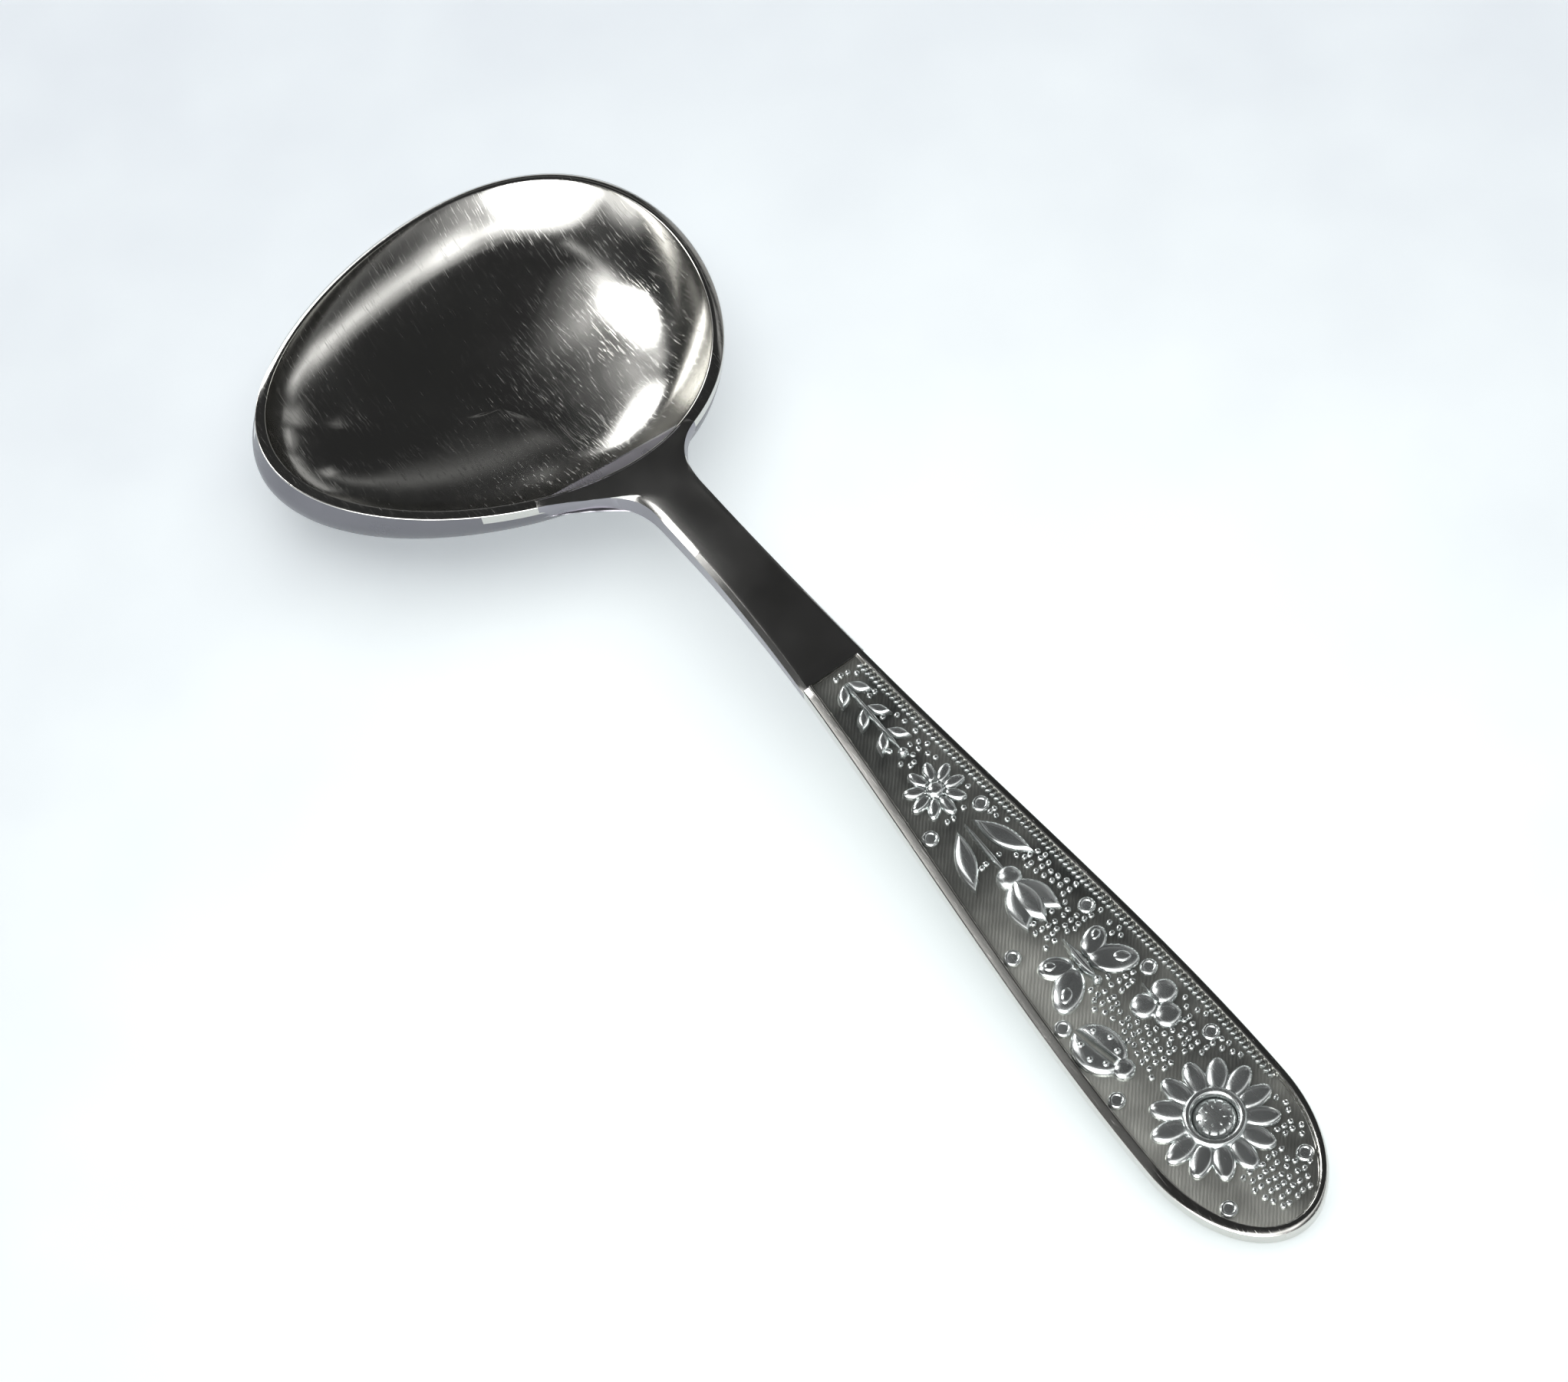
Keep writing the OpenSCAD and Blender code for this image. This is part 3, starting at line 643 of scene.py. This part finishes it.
bowl = first_ring("bowl_shell", FACETS, lambda k: inner_edge(round_angle(k), 0))
for ring in RINGS:
    next_ring(lambda k: inner_point(round_angle(k), ring))
close_to_point((0, 0, inner_point(0, BOTTOM_RING)[2]))
select_first_ring()
for turn in (30, 60, 90):
    next_ring(lambda k: inner_edge(round_angle(k), radians(turn)))
next_ring(lambda k: land_end(round_angle(k)))
for turn in RIM_TURNS:
    next_ring(lambda k: rim_edge(round_angle(k), turn))
for ring in [r for r in RINGS if 1 < r < LAST_RING] + [LAST_RING]:
    next_ring(lambda k: outer_point(round_angle(k), ring))
close_to_point((0, 0, 0))
end_skin()
finish_piece(bowl, bowl_steel, ["bowl"], 40)
# The outer wall and underside get the darker steel, whose colour is painted shade.
second_steel(bowl, outside_shaded_steel, is_outside)
flatten_shading(bowl)

# %% [markdown]
# ## The stem
# The neck is drawn out of the bowl's wall and runs on as the shank. By hand it would be a few sections
# bridged together. Here a ring with the section's outline is extruded along it. Its first ring lies on the
# rim's land, so the top runs from the bowl without a groove. The shank is a smooth arch between the slopes
# of the neck and of the handle. Its edge towards the camera has a broad ground facet that catches the
# light, and the other edge is only broken.

# %% The stem in formulas
NECK_LEN, SHANK_LEN, HANDLE_OFF = 6.2, 22.0, 4.4
NECK_X = 35.6 / 2 + NECK_LEN
RELIEF_X = NECK_X + SHANK_LEN
NECK_H, NECK_WID, NECK_THICK, HANDLE_THICK, NECK_SLOPE = 9.09, 4.8, 3.2, 2.0, 0.03
RELIEF_H, RELIEF_LEN, END_WID, END_ROUND = 8.5, 60.6, 13.7, 10.6
TILT = asin(RELIEF_H / hypot(RELIEF_LEN, HANDLE_THICK)) - atan2(HANDLE_THICK, RELIEF_LEN)
FACET, BROKEN, CROWN = 0.45, 0.16, 0.2
WIDEN_FROM = 2
FLARE_FROM, FLARE_TURN, FLARE_THICK = 265, 45, 1 / 11
LIFT = Vector((0, 0, 0.01))


def half_wid(x):
    """Half the width of the shank and the handle, which widen in one smooth curve."""
    widening = RELIEF_X + RELIEF_LEN - END_ROUND - NECK_X - WIDEN_FROM
    u = min(1, max(0, (x - NECK_X - WIDEN_FROM) / widening))
    return NECK_WID / 2 + (END_WID - NECK_WID) / 2 * ease(u ** 1.1)


def arch(u):
    """Height and slope along the shank."""
    height = ((1 - ease(u)) * NECK_H + ease(u) * RELIEF_H
              + SHANK_LEN * (u * (1 - u) ** 2 * NECK_SLOPE + u * u * (1 - u) * tan(TILT)))
    slope = (6 * u * (1 - u) * (RELIEF_H - NECK_H) / SHANK_LEN
             + (1 - u) * (1 - 3 * u) * NECK_SLOPE + u * (2 - 3 * u) * tan(TILT))
    return height, slope


def shank_point(u, row, across):
    """Across runs from 0 at the facet's side to 1, and rows 0 to 3 from the top to the underside."""
    x = NECK_X + SHANK_LEN * u
    thick = NECK_THICK + (HANDLE_THICK - NECK_THICK) * u
    height, slope = arch(u)
    edge = FACET + (BROKEN - FACET) * ease((across - 0.3) / 0.4)
    half = half_wid(x) - (edge if row in (0, 3) else 0)
    drop = (CROWN * (1 - u) * (2 * across - 1) ** 2, edge, thick - edge, thick)[row]
    lean = -atan(slope)
    return Vector((x - drop * sin(lean), HANDLE_OFF + (2 * across - 1) * half, height - drop * cos(lean)))


def flare_angle(across):
    """Where the neck's flare meets the bowl, round the egg."""
    return radians(FLARE_FROM + FLARE_TURN * across)


def wall_point(row, across):
    """Where the neck grows out of the bowl's wall. The lower rows start a little way down."""
    t = flare_angle(across)
    ring = LAST_RING * (FLARE_THICK * max(0, row - 1)) ** 1.3
    return Vector(rim_point(t) if row == 0 else outer_point(t, ring))


def neck_point(u, row, across):
    """The neck's long lines leave the rim along its tangent and run into the shank."""
    start, end = wall_point(row, across), shank_point(0, row, across)
    t = flare_angle(across)
    along = (Vector(rim_point(t + 0.02)) - Vector(rim_point(t - 0.02))).normalized()
    away = Vector((along.y, -along.x, 0))
    reach = NECK_X - start.x
    side = 0.7 * (1 - across) + 0.4 * across
    pull = reach * (0.25 + (side - 0.25) * cos(pi * across) ** 2)
    one = start + pull * (cos(pi * across) * along + sin(pi * across) * away)
    two = end - 0.55 * reach * Vector((1, 0, NECK_SLOPE))
    return (1 - u) ** 3 * start + 3 * u * (1 - u) ** 2 * one + 3 * u * u * (1 - u) * two + u ** 3 * end


def tongue_point(row, across):
    """The first ring lies over the rim's land, just outside its inner edge."""
    t = flare_angle(across)
    inner, outer = Vector(inner_point(t, 0)), Vector(rim_point(t))
    return inner + (outer - inner) * 0.25 - Vector((0, 0, 0.2 * row)) + LIFT


print("handle leans down", round(TILT * 180 / pi, 2), "degrees")

# %% [markdown]
# ## The stem as a mesh
# The ring has 42 corners: a row of 19 over the top, the same below, and two on each side wall. One run of
# rings makes the neck and a second one the shank. The neck lies a hundredth of a millimetre above the rim
# at first, so the two skins don't flicker where they meet.

# %% Model the stem
COLUMNS, STEPS = 18, 20
edge_cells = ([(0, c / COLUMNS) for c in range(COLUMNS + 1)] + [(1, 1), (2, 1)]
              + [(3, c / COLUMNS) for c in range(COLUMNS, -1, -1)] + [(2, 0), (1, 0)])
stem = first_ring("neck_and_shank", len(edge_cells), lambda k: tongue_point(*edge_cells[k]))
for step in range(STEPS + 1):
    next_ring(lambda k: neck_point(step / STEPS, *edge_cells[k]) + LIFT * (1 - step / STEPS))
for step in range(1, STEPS + 1):
    next_ring(lambda k: shank_point(step / STEPS, *edge_cells[k]))
bpy.ops.mesh.edge_face_add()
select_first_ring()
bpy.ops.mesh.edge_face_add()
end_skin()
soften(stem, 0.06, 25)
finish_piece(stem, stem_steel, ["neck", "shank"], 35)
# The stem's sides get the darker steel, whose colour is painted shade.
second_steel(stem, side_steel, lambda face: face.normal.z < 0.3)
flatten_shading(stem)

# %% [markdown]
# ## The handle's blank
# The broad handle is one flat pressing with a raised border round a sunk panel. It could be a box with its
# top inset, but the outline widens in a curve and ends in half an ellipse, so the same rings serve:
# underside, wall, facet, border and inner wall, and last the panel's ground. The border is open where the
# shank comes in, so the first edge of each ring stays at the panel's start. It is also broader and rounder
# on the near side, where the photograph shows a pale line along it.

# %% Model the blank
SIDES, ENDS = 48, 40
STRAIGHT = RELIEF_LEN - END_ROUND
SUNK, UNDER_BREAK = 0.45, 0.35
# How far each ring is drawn in on the near and the far side, and its height, from the underside up
HANDLE_RINGS = [(UNDER_BREAK, UNDER_BREAK, -HANDLE_THICK), (0, 0, -HANDLE_THICK + UNDER_BREAK),
                (0, 0, -FACET), (0.04, 0.02, -0.3), (0.16, 0.06, -0.2), (0.7, 0.14, 0), (0.8, 0.5, 0),
                (0.87, 0.66, -0.06), (0.95, 0.8, -SUNK)]


def handle_edge(k, inset_near, inset_far):
    """Corner k of the outline, drawn in by one width on the near side and another on the far side."""
    if k < SIDES or k > SIDES + ENDS:
        far = k < SIDES
        x = STRAIGHT * (k if far else 2 * SIDES + ENDS - k) / SIDES
        half = half_wid(RELIEF_X + x)
        return x, (half - inset_far) if far else (inset_near - half)
    a = pi / 2 - pi * (k - SIDES) / ENDS
    inset = inset_near + (inset_far - inset_near) * (1 + sin(a)) / 2
    return STRAIGHT + (END_ROUND - inset) * cos(a), (END_WID / 2 - inset) * sin(a)


def lay_on_panel(obj):
    """Moves a piece from the panel's own flat frame to its place on the spoon."""
    only(obj)
    obj.location = Vector((RELIEF_X, HANDLE_OFF, RELIEF_H)) * MM
    obj.rotation_euler = (0, TILT, 0)
    bpy.ops.object.transform_apply(location=True, rotation=True, scale=True)


near, far, z = HANDLE_RINGS[0]
blank = first_ring("handle_blank", 2 * SIDES + ENDS + 1, lambda k: (*handle_edge(k, near, far), z))
bpy.ops.mesh.edge_face_add()
for near, far, z in HANDLE_RINGS[1:]:
    next_ring(lambda k: (*handle_edge(k, near, far), z))
bpy.ops.mesh.edge_face_add()
end_skin()
soften(blank, 0.07, 25)
ground_faces = {face.index for face in blank.data.polygons
                if face.area > 20 * MM * MM and face.center.z > -HANDLE_THICK / 2 * MM}
lay_on_panel(blank)
finish_piece(blank, bowl_steel, ["handle_plate", "handle_border"], 35)
second_steel(blank, ground_steel, lambda face: face.index in ground_faces)
flatten_shading(blank)
print("ground faces:", len(ground_faces))


# %% [markdown]
# ## How a motif is pressed
# A raised motif is a cushion over an outline: it rises steeply from the ground and rounds over to its crest.
# Insets would do on a round outline, but they cross over at a leaf's tips, so each ring is the outline
# drawn in towards the crest, which is a point for a dome and a line for a leaf.

# %% Cushions and their outlines
def lobe(length, width, count=20, start=0.0):
    """An oval from the origin along x."""
    return [(start + length / 2 * (1 + cos(2 * pi * k / count)), width / 2 * sin(2 * pi * k / count))
            for k in range(count)]


def leaf(length, width, count=24):
    """A leaf from the origin along x, pointed at both ends."""
    half = count // 2
    return [(length * (k if k <= half else count - k) / half, width / 2 * sin(pi * k / half))
            for k in range(count)]


ROOT, WALL_RISE = -0.05, 0.06
CUSHION_RINGS = (0, 20, 37, 52, 66, 79)


def cushion(name, outline, rise, spine=0.0, wall=WALL_RISE, rings=CUSHION_RINGS):
    """A closed cushion in the panel's frame. The spine is the share of the length that the crest keeps,
    and the wall is the height of its steep foot."""
    middle = (max(p[0] for p in outline) + min(p[0] for p in outline)) / 2

    def place(k, draw, height):
        x, y = outline[k]
        return middle + (x - middle) * (spine + (1 - spine) * draw), y * draw, height - SUNK

    first_ring(name, len(outline), lambda k: place(k, 1, ROOT))
    bpy.ops.mesh.edge_face_add()
    for ring in rings:
        next_ring(lambda k: place(k, cos(radians(ring)), wall + (rise - wall) * sin(radians(ring))))
    if spine:
        bpy.ops.mesh.edge_face_add()
    else:
        close_to_point((middle, 0, rise - SUNK))
    return end_skin()


def set_down(obj, x=0.0, y=0.0, turn=0.0):
    """Turns a piece in degrees, moves it over the panel in mm, and applies both to its mesh."""
    only(obj)
    obj.location, obj.rotation_euler = Vector((x, y, 0)) * MM, (0, 0, radians(turn))
    bpy.ops.object.transform_apply(location=True, rotation=True, scale=True)
    return obj


def copy_of(obj):
    """A copy with a mesh of its own."""
    only(obj)
    bpy.ops.object.duplicate()
    return bpy.context.object


def join(name, pieces):
    """Makes one piece of several and names it."""
    only(pieces[0])
    for piece in pieces[1:]:
        piece.select_set(True)
    bpy.ops.object.join()
    pieces[0].name = pieces[0].data.name = name
    return pieces[0]


def rosette(name, petal, count):
    """A petal and its copies in a ring round the origin."""
    ring = [set_down(copy_of(petal), turn=360 * k / count) for k in range(1, count)]
    return join(name, [petal, *ring])


def finish_motif(obj, x, y, node_name, turn=0.0):
    """Puts a motif in its place on the panel and dresses it."""
    set_down(obj, x, y, turn)
    lay_on_panel(obj)
    finish_piece(obj, relief_steel, [node_name], 45)


RISE, DOME = 0.64, 0.92
BORDER, GAP, MILLED_WID = 0.8, 0.2, 0.65
STEM_WID = 0.5
print("cushions rise", RISE, "mm and domes", DOME, "mm")

# %% [markdown]
# ## Sprig and daisy
# The picture is a garden that runs from the stem to the handle's end. It opens with a sprig of three pairs
# of leaves and a bud. The daisy behind it is one petal, copied eight times round a domed centre.

# %% Model sprig and daisy
SPRIG_X, SPRIG_LEN, SPRIG_LEAF, SPRIG_PAIRS = 1.56, 8.0, 2.4, 3
LEAF_LEAN = 38
twig = cushion("twig", lobe(SPRIG_LEN, STEM_WID, 28), RISE, 0.9)
sprig_leaf = cushion("sprig_leaf", leaf(SPRIG_LEAF, SPRIG_LEAF * 0.46), RISE + 0.05, 0.5)
leaves = []
for pair in range(SPRIG_PAIRS):
    for side in (-1, 1):
        at = SPRIG_LEN * pair / SPRIG_PAIRS
        leaves.append(set_down(copy_of(sprig_leaf), at, side * 0.05, side * LEAF_LEAN))
bpy.data.objects.remove(sprig_leaf)
bud = set_down(cushion("bud", lobe(2 * STEM_WID, 2 * STEM_WID, start=-STEM_WID), DOME), SPRIG_LEN)
finish_motif(join("sprig_relief", [twig, *leaves, bud]), SPRIG_X, 0, "sprig")

DAISY_X, DAISY_D, DAISY_PETALS = 13.86, 5.0, 9
centre_d = DAISY_D * 0.34
petal_len = (DAISY_D - centre_d) / 2 * 1.25
petal = cushion("daisy_petal", lobe(petal_len, 1.17, start=centre_d / 2 * 0.76), RISE, 0.35)
finish_motif(rosette("daisy_petals_relief", petal, DAISY_PETALS), DAISY_X, 0, "daisy_petals")
daisy_eye = cushion("daisy_centre_relief", lobe(centre_d, centre_d, 24, -centre_d / 2), DOME)
finish_motif(daisy_eye, DAISY_X, 0, "daisy_centre")

# %% [markdown]
# ## Tulip
# Three pointed petals overlap in a cup that opens towards the handle's end. The stem has a long leaf on
# each side. The petals are one leaf form at three angles, and the middle one lies highest.

# %% Model the tulip
TULIP_X, TULIP_LEN, LEAF_LEN = 23.67, 5.0, 6.0
PETAL_LEAN, TULIP_LEAF_LEAN = 20, 22
cup = TULIP_LEN * 0.9
parts = []
for side in (-1, 1, 0):
    height = RISE if side else DOME - 0.05
    petal = cushion("tulip_petal", leaf(TULIP_LEN, cup / 2), height, 0.45)
    parts.append(set_down(petal, turn=side * PETAL_LEAN))
parts.append(cushion("tulip_cup", lobe(cup / 2, cup / 2, 24, -cup / 4), DOME))
parts.append(set_down(cushion("tulip_stem", lobe(LEAF_LEN, STEM_WID, 28), RISE, 0.9), -LEAF_LEN))
finish_motif(join("tulip_flower_relief", parts), TULIP_X, 0, "tulip_flower")
parts = [set_down(cushion("tulip_leaf", leaf(LEAF_LEN, LEAF_LEN * 0.31), RISE, 0.6),
                  -LEAF_LEN, side * STEM_WID * 1.5, side * TULIP_LEAF_LEAN) for side in (-1, 1)]
finish_motif(join("tulip_leaves_relief", parts), TULIP_X, 0, "tulip_leaves")

# %% [markdown]
# ## Butterfly
# Two large and two small wings spread from a slim body. Each wing carries a smaller cushion, as a wing's
# spot would be pressed, which gives the mirror a second rim of light.

# %% Model the butterfly
BUTTERFLY_X, WING, WING_ROOT, HEAD_D = 32.91, 4.2, 0.6, 0.9
# Length, width and turn of the large and the small wing
WINGS = ((WING, WING * 0.62, 52), (WING * 0.72, WING * 0.5, 122))
parts = []
for side in (-1, 1):
    for length, width, turn in WINGS:
        wing = cushion("wing", lobe(length, width, 28), RISE, 0.3)
        parts.append(set_down(wing, 0, side * WING_ROOT, side * turn))
        spot = cushion("wing_spot", lobe(length * 0.4, width * 0.45, 18, length * 0.45), RISE + 0.14,
                       0.2, 0.3)
        parts.append(set_down(spot, 0, side * WING_ROOT, side * turn))
finish_motif(join("butterfly_wings_relief", parts), BUTTERFLY_X, 0, "butterfly_wings")
trunk = set_down(cushion("butterfly_trunk", leaf(WING * 1.2, HEAD_D), DOME, 0.6), -WING * 0.6)
head = cushion("butterfly_head", lobe(HEAD_D, HEAD_D, 18, -HEAD_D / 2), DOME + 0.05)
set_down(head, WING * 0.6 - HEAD_D / 2)
finish_motif(join("butterfly_body_relief", [trunk, head]), BUTTERFLY_X, 0, "butterfly_body")

# %% [markdown]
# ## Ladybird and clover
# The ladybird's shell is an oval dome in two halves, with a groove between them and three raised spots on
# each. Beside it grows a clover leaf, three round cushions that meet at the stem.

# %% Model ladybird and clover
LADYBIRD_X, LADYBIRD_TURN, SHELL = 39.65, 12, 5.0
GROOVE_HALF, CREST_OFF, SPOT_D = 0.12, 0.9, 0.7
SPOTS = ((-1.2, 0.75), (0.15, 1.2), (1.3, 0.7))
ladybird_y = -(half_wid(RELIEF_X + LADYBIRD_X) - BORDER - GAP) + SHELL * 0.41
half_shell = lobe(SHELL, SHELL * 0.82, 40, -SHELL / 2)[:21]
parts = []
for side in (-1, 1):
    outline = [(x, side * max(GROOVE_HALF, y) - side * CREST_OFF) for x, y in half_shell]
    parts.append(set_down(cushion("wing_case", outline, DOME - 0.08, 0.35), 0, side * CREST_OFF))
    for x, y in SPOTS:
        spot = cushion("spot", lobe(SPOT_D, SPOT_D, 14, -SPOT_D / 2), DOME + 0.05, 0, 0.45)
        parts.append(set_down(spot, x, side * y))
finish_motif(join("ladybird_shell_relief", parts), LADYBIRD_X, ladybird_y, "ladybird_shell", LADYBIRD_TURN)
head = cushion("ladybird_head_relief", lobe(SHELL * 0.4, SHELL * 0.4, 24, -SHELL * 0.2), DOME - 0.1)
set_down(head, SHELL / 2)
finish_motif(head, LADYBIRD_X, ladybird_y, "ladybird_head", LADYBIRD_TURN)

CLOVER_X, CLOVER_D = 39.45, 4.6
clover_y = half_wid(RELIEF_X + CLOVER_X) - BORDER - GAP - MILLED_WID - CLOVER_D / 2
leaflet = cushion("leaflet", lobe(CLOVER_D / 2, CLOVER_D / 2, 24), RISE + 0.08)
clover = rosette("clover_leaf_relief", leaflet, 3)
stalk = set_down(cushion("stalk", lobe(CLOVER_D * 0.48, STEM_WID / 2, 16), RISE, 0.9), turn=180)
finish_motif(join("clover_leaf_relief", [clover, stalk]), CLOVER_X, clover_y, "clover_leaf")

# %% [markdown]
# ## Sunflower
# It fills the round end: thirteen petals, a raised ring and a domed centre. The ring is a lathe form, so
# its rings of corners simply follow its section. Small seeds in two circles stand on the centre.

# %% Model the sunflower
SUNFLOWER_X, SUNFLOWER_D, SUNFLOWER_PETALS = 49.65, 10.4, 13
SEED_LEN, SEED_WID, SEED_SINK = 0.5, 0.34, 0.14
ring_d, eye_d = SUNFLOWER_D * 0.5, SUNFLOWER_D * 0.34
petal_len = (SUNFLOWER_D - ring_d) / 2
petal_wid = pi * (SUNFLOWER_D + ring_d) / 2 / SUNFLOWER_PETALS
petal_start = ring_d / 2 - petal_len / 4
petal = cushion("sunflower_petal", lobe(petal_len * 1.25, petal_wid, start=petal_start), RISE, 0.4)
finish_motif(rosette("sunflower_petals_relief", petal, SUNFLOWER_PETALS), SUNFLOWER_X, 0, "sunflower_petals")


def lathe(name, section, count=48):
    """A skin round the z axis through (radius, height) pairs over the ground. It stays in edit mode."""
    def place(k, radius, height):
        return radius * cos(2 * pi * k / count), radius * sin(2 * pi * k / count), height - SUNK

    radius, height = section[0]
    first_ring(name, count, lambda k: place(k, radius, height))
    for radius, height in section[1:]:
        next_ring(lambda k: place(k, radius, height))


r_in, r_out, ring_wall = eye_d / 2, ring_d / 2, 0.2
crest = [((r_in + r_out) / 2 + (r_out - r_in) / 2 * cos(radians(a)),
          ring_wall + (DOME - ring_wall) * sin(radians(a))) for a in range(0, 181, 20)]
lathe("sunflower_ring_relief", [(r_out, ROOT), *crest, (r_in, ROOT)])
select_first_ring()
bm = bmesh.from_edit_mesh(bpy.context.edit_object.data)
for corner in bm.verts:
    corner.select = corner.co.z < (0.8 * ROOT - SUNK) * MM
bm.select_flush(True)
bpy.ops.mesh.bridge_edge_loops()
finish_motif(end_skin(), SUNFLOWER_X, 0, "sunflower_ring")

parts = [cushion("sunflower_eye", lobe(eye_d, eye_d, 32, -eye_d / 2), DOME)]
seed = cushion("seed", lobe(SEED_LEN, SEED_WID, 10), DOME + 0.06, 0.3, 0.35, (0, 45, 75))
for circle, count in ((0.5, 7), (1.05, 13)):
    for k in range(count):
        angle = 360 * k / count
        x, y = circle * cos(radians(angle)), circle * sin(radians(angle))
        grain = set_down(copy_of(seed), x, y, angle)
        grain.location.z = -SEED_SINK * MM * (circle ** 2)
        only(grain)
        bpy.ops.object.transform_apply(location=True)
        parts.append(grain)
bpy.data.objects.remove(seed)
finish_motif(join("sunflower_centre_relief", parts), SUNFLOWER_X, 0, "sunflower_centre")

# %% [markdown]
# ## Studs
# A small round stud fills each corner that the motifs leave: a dish with a raised ring. It is one lathe
# form, copied to its places along both sides.

# %% Model the studs
STUD_D, STUD_MIDDLE = 1.5, 0.26
STUD_SECTION = [(STUD_D / 2, ROOT), (STUD_D / 2, 0.12), (0.7, 0.26), (0.58, 0.35), (0.47, 0.33),
                (0.38, 0.22), (0.2, 0.24)]
LADYBIRD_LEN, STUD_PAST, END_STUD_TURN = 6, 0.651, radians(47)
lathe("stud", STUD_SECTION, 24)
close_to_point((0, 0, STUD_MIDDLE - SUNK))
select_first_ring()
bpy.ops.mesh.edge_face_add()
stud = end_skin()
motif_ends = [DAISY_X + DAISY_D / 2, TULIP_X + TULIP_LEN, BUTTERFLY_X + WING * 0.7,
              LADYBIRD_X - SHELL / 2 + LADYBIRD_LEN]
stud_places = []
for end in motif_ends:
    x = end + STUD_PAST
    room = half_wid(RELIEF_X + x) - BORDER - GAP - STUD_D / 2
    stud_places += [(x, -room), (x, room - MILLED_WID)]
inset = BORDER + GAP + STUD_D / 2
stud_places += [(STRAIGHT + (END_ROUND - inset) * cos(END_STUD_TURN),
                 side * (END_WID / 2 - inset) * sin(END_STUD_TURN)) for side in (-1, 1)]
copies = [set_down(copy_of(stud), x, y) for x, y in stud_places]
bpy.data.objects.remove(stud)
finish_motif(join("studs_relief", copies), 0, 0, "studs")
print(len(copies), "studs")

# %% [markdown]
# ## The milled line
# A row of short slanted beads runs inside the far border, as a knurling wheel leaves in the die. The bead
# is one small cushion, copied every half millimetre, and it stays clear of the round motifs.

# %% Model the milled line
BEAD_PITCH, BEAD_LEN, BEAD_WID, BEAD_RISE, BEAD_TURN = 0.5, 0.66, 0.36, 0.48, 62
BEAD_GAP, BEAD_REACH, BEAD_CLEAR = 0.1, 0.275, 0.35
round_motifs = [(DAISY_X, 0, DAISY_D / 2), (CLOVER_X, clover_y, CLOVER_D / 2),
                (SUNFLOWER_X, 0, SUNFLOWER_D / 2)]


def is_clear(x, y, radius):
    """True when a circle round the place touches none of the round motifs."""
    return all(hypot(x - cx, y - cy) > r + radius for cx, cy, r in round_motifs)


bead = cushion("bead", lobe(BEAD_LEN, BEAD_WID, 10, -BEAD_LEN / 2), BEAD_RISE, 0.4, 0.14, (0, 40, 72))
beads = []
for k in range(2, int(STRAIGHT / BEAD_PITCH)):
    x = k * BEAD_PITCH
    y = half_wid(RELIEF_X + x) - BORDER - BEAD_GAP - BEAD_REACH
    if is_clear(x, y, BEAD_CLEAR):
        beads.append(set_down(copy_of(bead), x, y, BEAD_TURN))
bpy.data.objects.remove(bead)
print(len(beads), "beads")
finish_motif(join("milled_line_relief", beads), 0, 0, "milled_line")

# %% [markdown]
# ## The pebbled ground
# The die was stippled between the motifs on the border's milled side, so the steel stands up there in small
# pebbles that sparkle. One dome is copied to every place of a shaken grid that is clear of the motifs. A
# ray sent down beside each place finds out whether a motif is in the way.

# %% Model the pebbles
PEBBLE_PITCH, PEBBLE_LEN, PEBBLE_WID, PEBBLE_RISE = 0.72, 0.62, 0.54, 0.36
PEBBLE_CLEAR, PEBBLE_SHAKE, NEAR_SHARE = 0.36, 0.13, 0.35
END_MARGIN, SIDE_MARGIN = 1.3, 1.25
corners, faces = [], []
for obj in bpy.context.scene.objects:
    if obj.type == "MESH" and obj.name.endswith("_relief"):
        faces += [[len(corners) + v for v in face.vertices] for face in obj.data.polygons]
        corners += [corner.co.copy() for corner in obj.data.vertices]
motifs = BVHTree.FromPolygons(corners, faces)
to_spoon = (Matrix.Translation(Vector((RELIEF_X, HANDLE_OFF, RELIEF_H)) * MM)
            @ Matrix.Rotation(TILT, 4, "Y"))


def is_bare(x, y, radius):
    """True when no motif lies under the place or under eight places round it."""
    down = Vector((0, 0, -1))
    starts = [(x, y)] + [(x + radius * cos(pi * k / 4), y + radius * sin(pi * k / 4)) for k in range(8)]
    return all(motifs.ray_cast(to_spoon @ (Vector((*start, 3)) * MM), down)[0] is None
               for start in starts)


shake = random.Random(5)
pebble = cushion("pebble", lobe(PEBBLE_LEN, PEBBLE_WID, 8, -PEBBLE_LEN / 2), PEBBLE_RISE, 0.0, 0.08,
                 (0, 45))
pebbles = []
for column in range(1, int((RELIEF_LEN - 1) / PEBBLE_PITCH)):
    for row in range(-8, 9):
        x = column * PEBBLE_PITCH + shake.uniform(-PEBBLE_SHAKE, PEBBLE_SHAKE)
        y = ((row + 0.5 * (column % 2)) * PEBBLE_PITCH * 0.9
             + shake.uniform(-PEBBLE_SHAKE, PEBBLE_SHAKE))
        past_end = max(0, x - STRAIGHT) / (END_ROUND - END_MARGIN)
        room = half_wid(RELIEF_X + min(x, STRAIGHT)) - SIDE_MARGIN
        if past_end < 1:
            room *= sqrt(1 - past_end ** 2)
            if -NEAR_SHARE * room < y < room and is_bare(x, y, PEBBLE_CLEAR):
                pebbles.append(set_down(copy_of(pebble), x, y, shake.uniform(0, 180)))
bpy.data.objects.remove(pebble)
print(len(pebbles), "pebbles")
finish_motif(join("pebbled_ground", pebbles), 0, 0, "handle_plate")
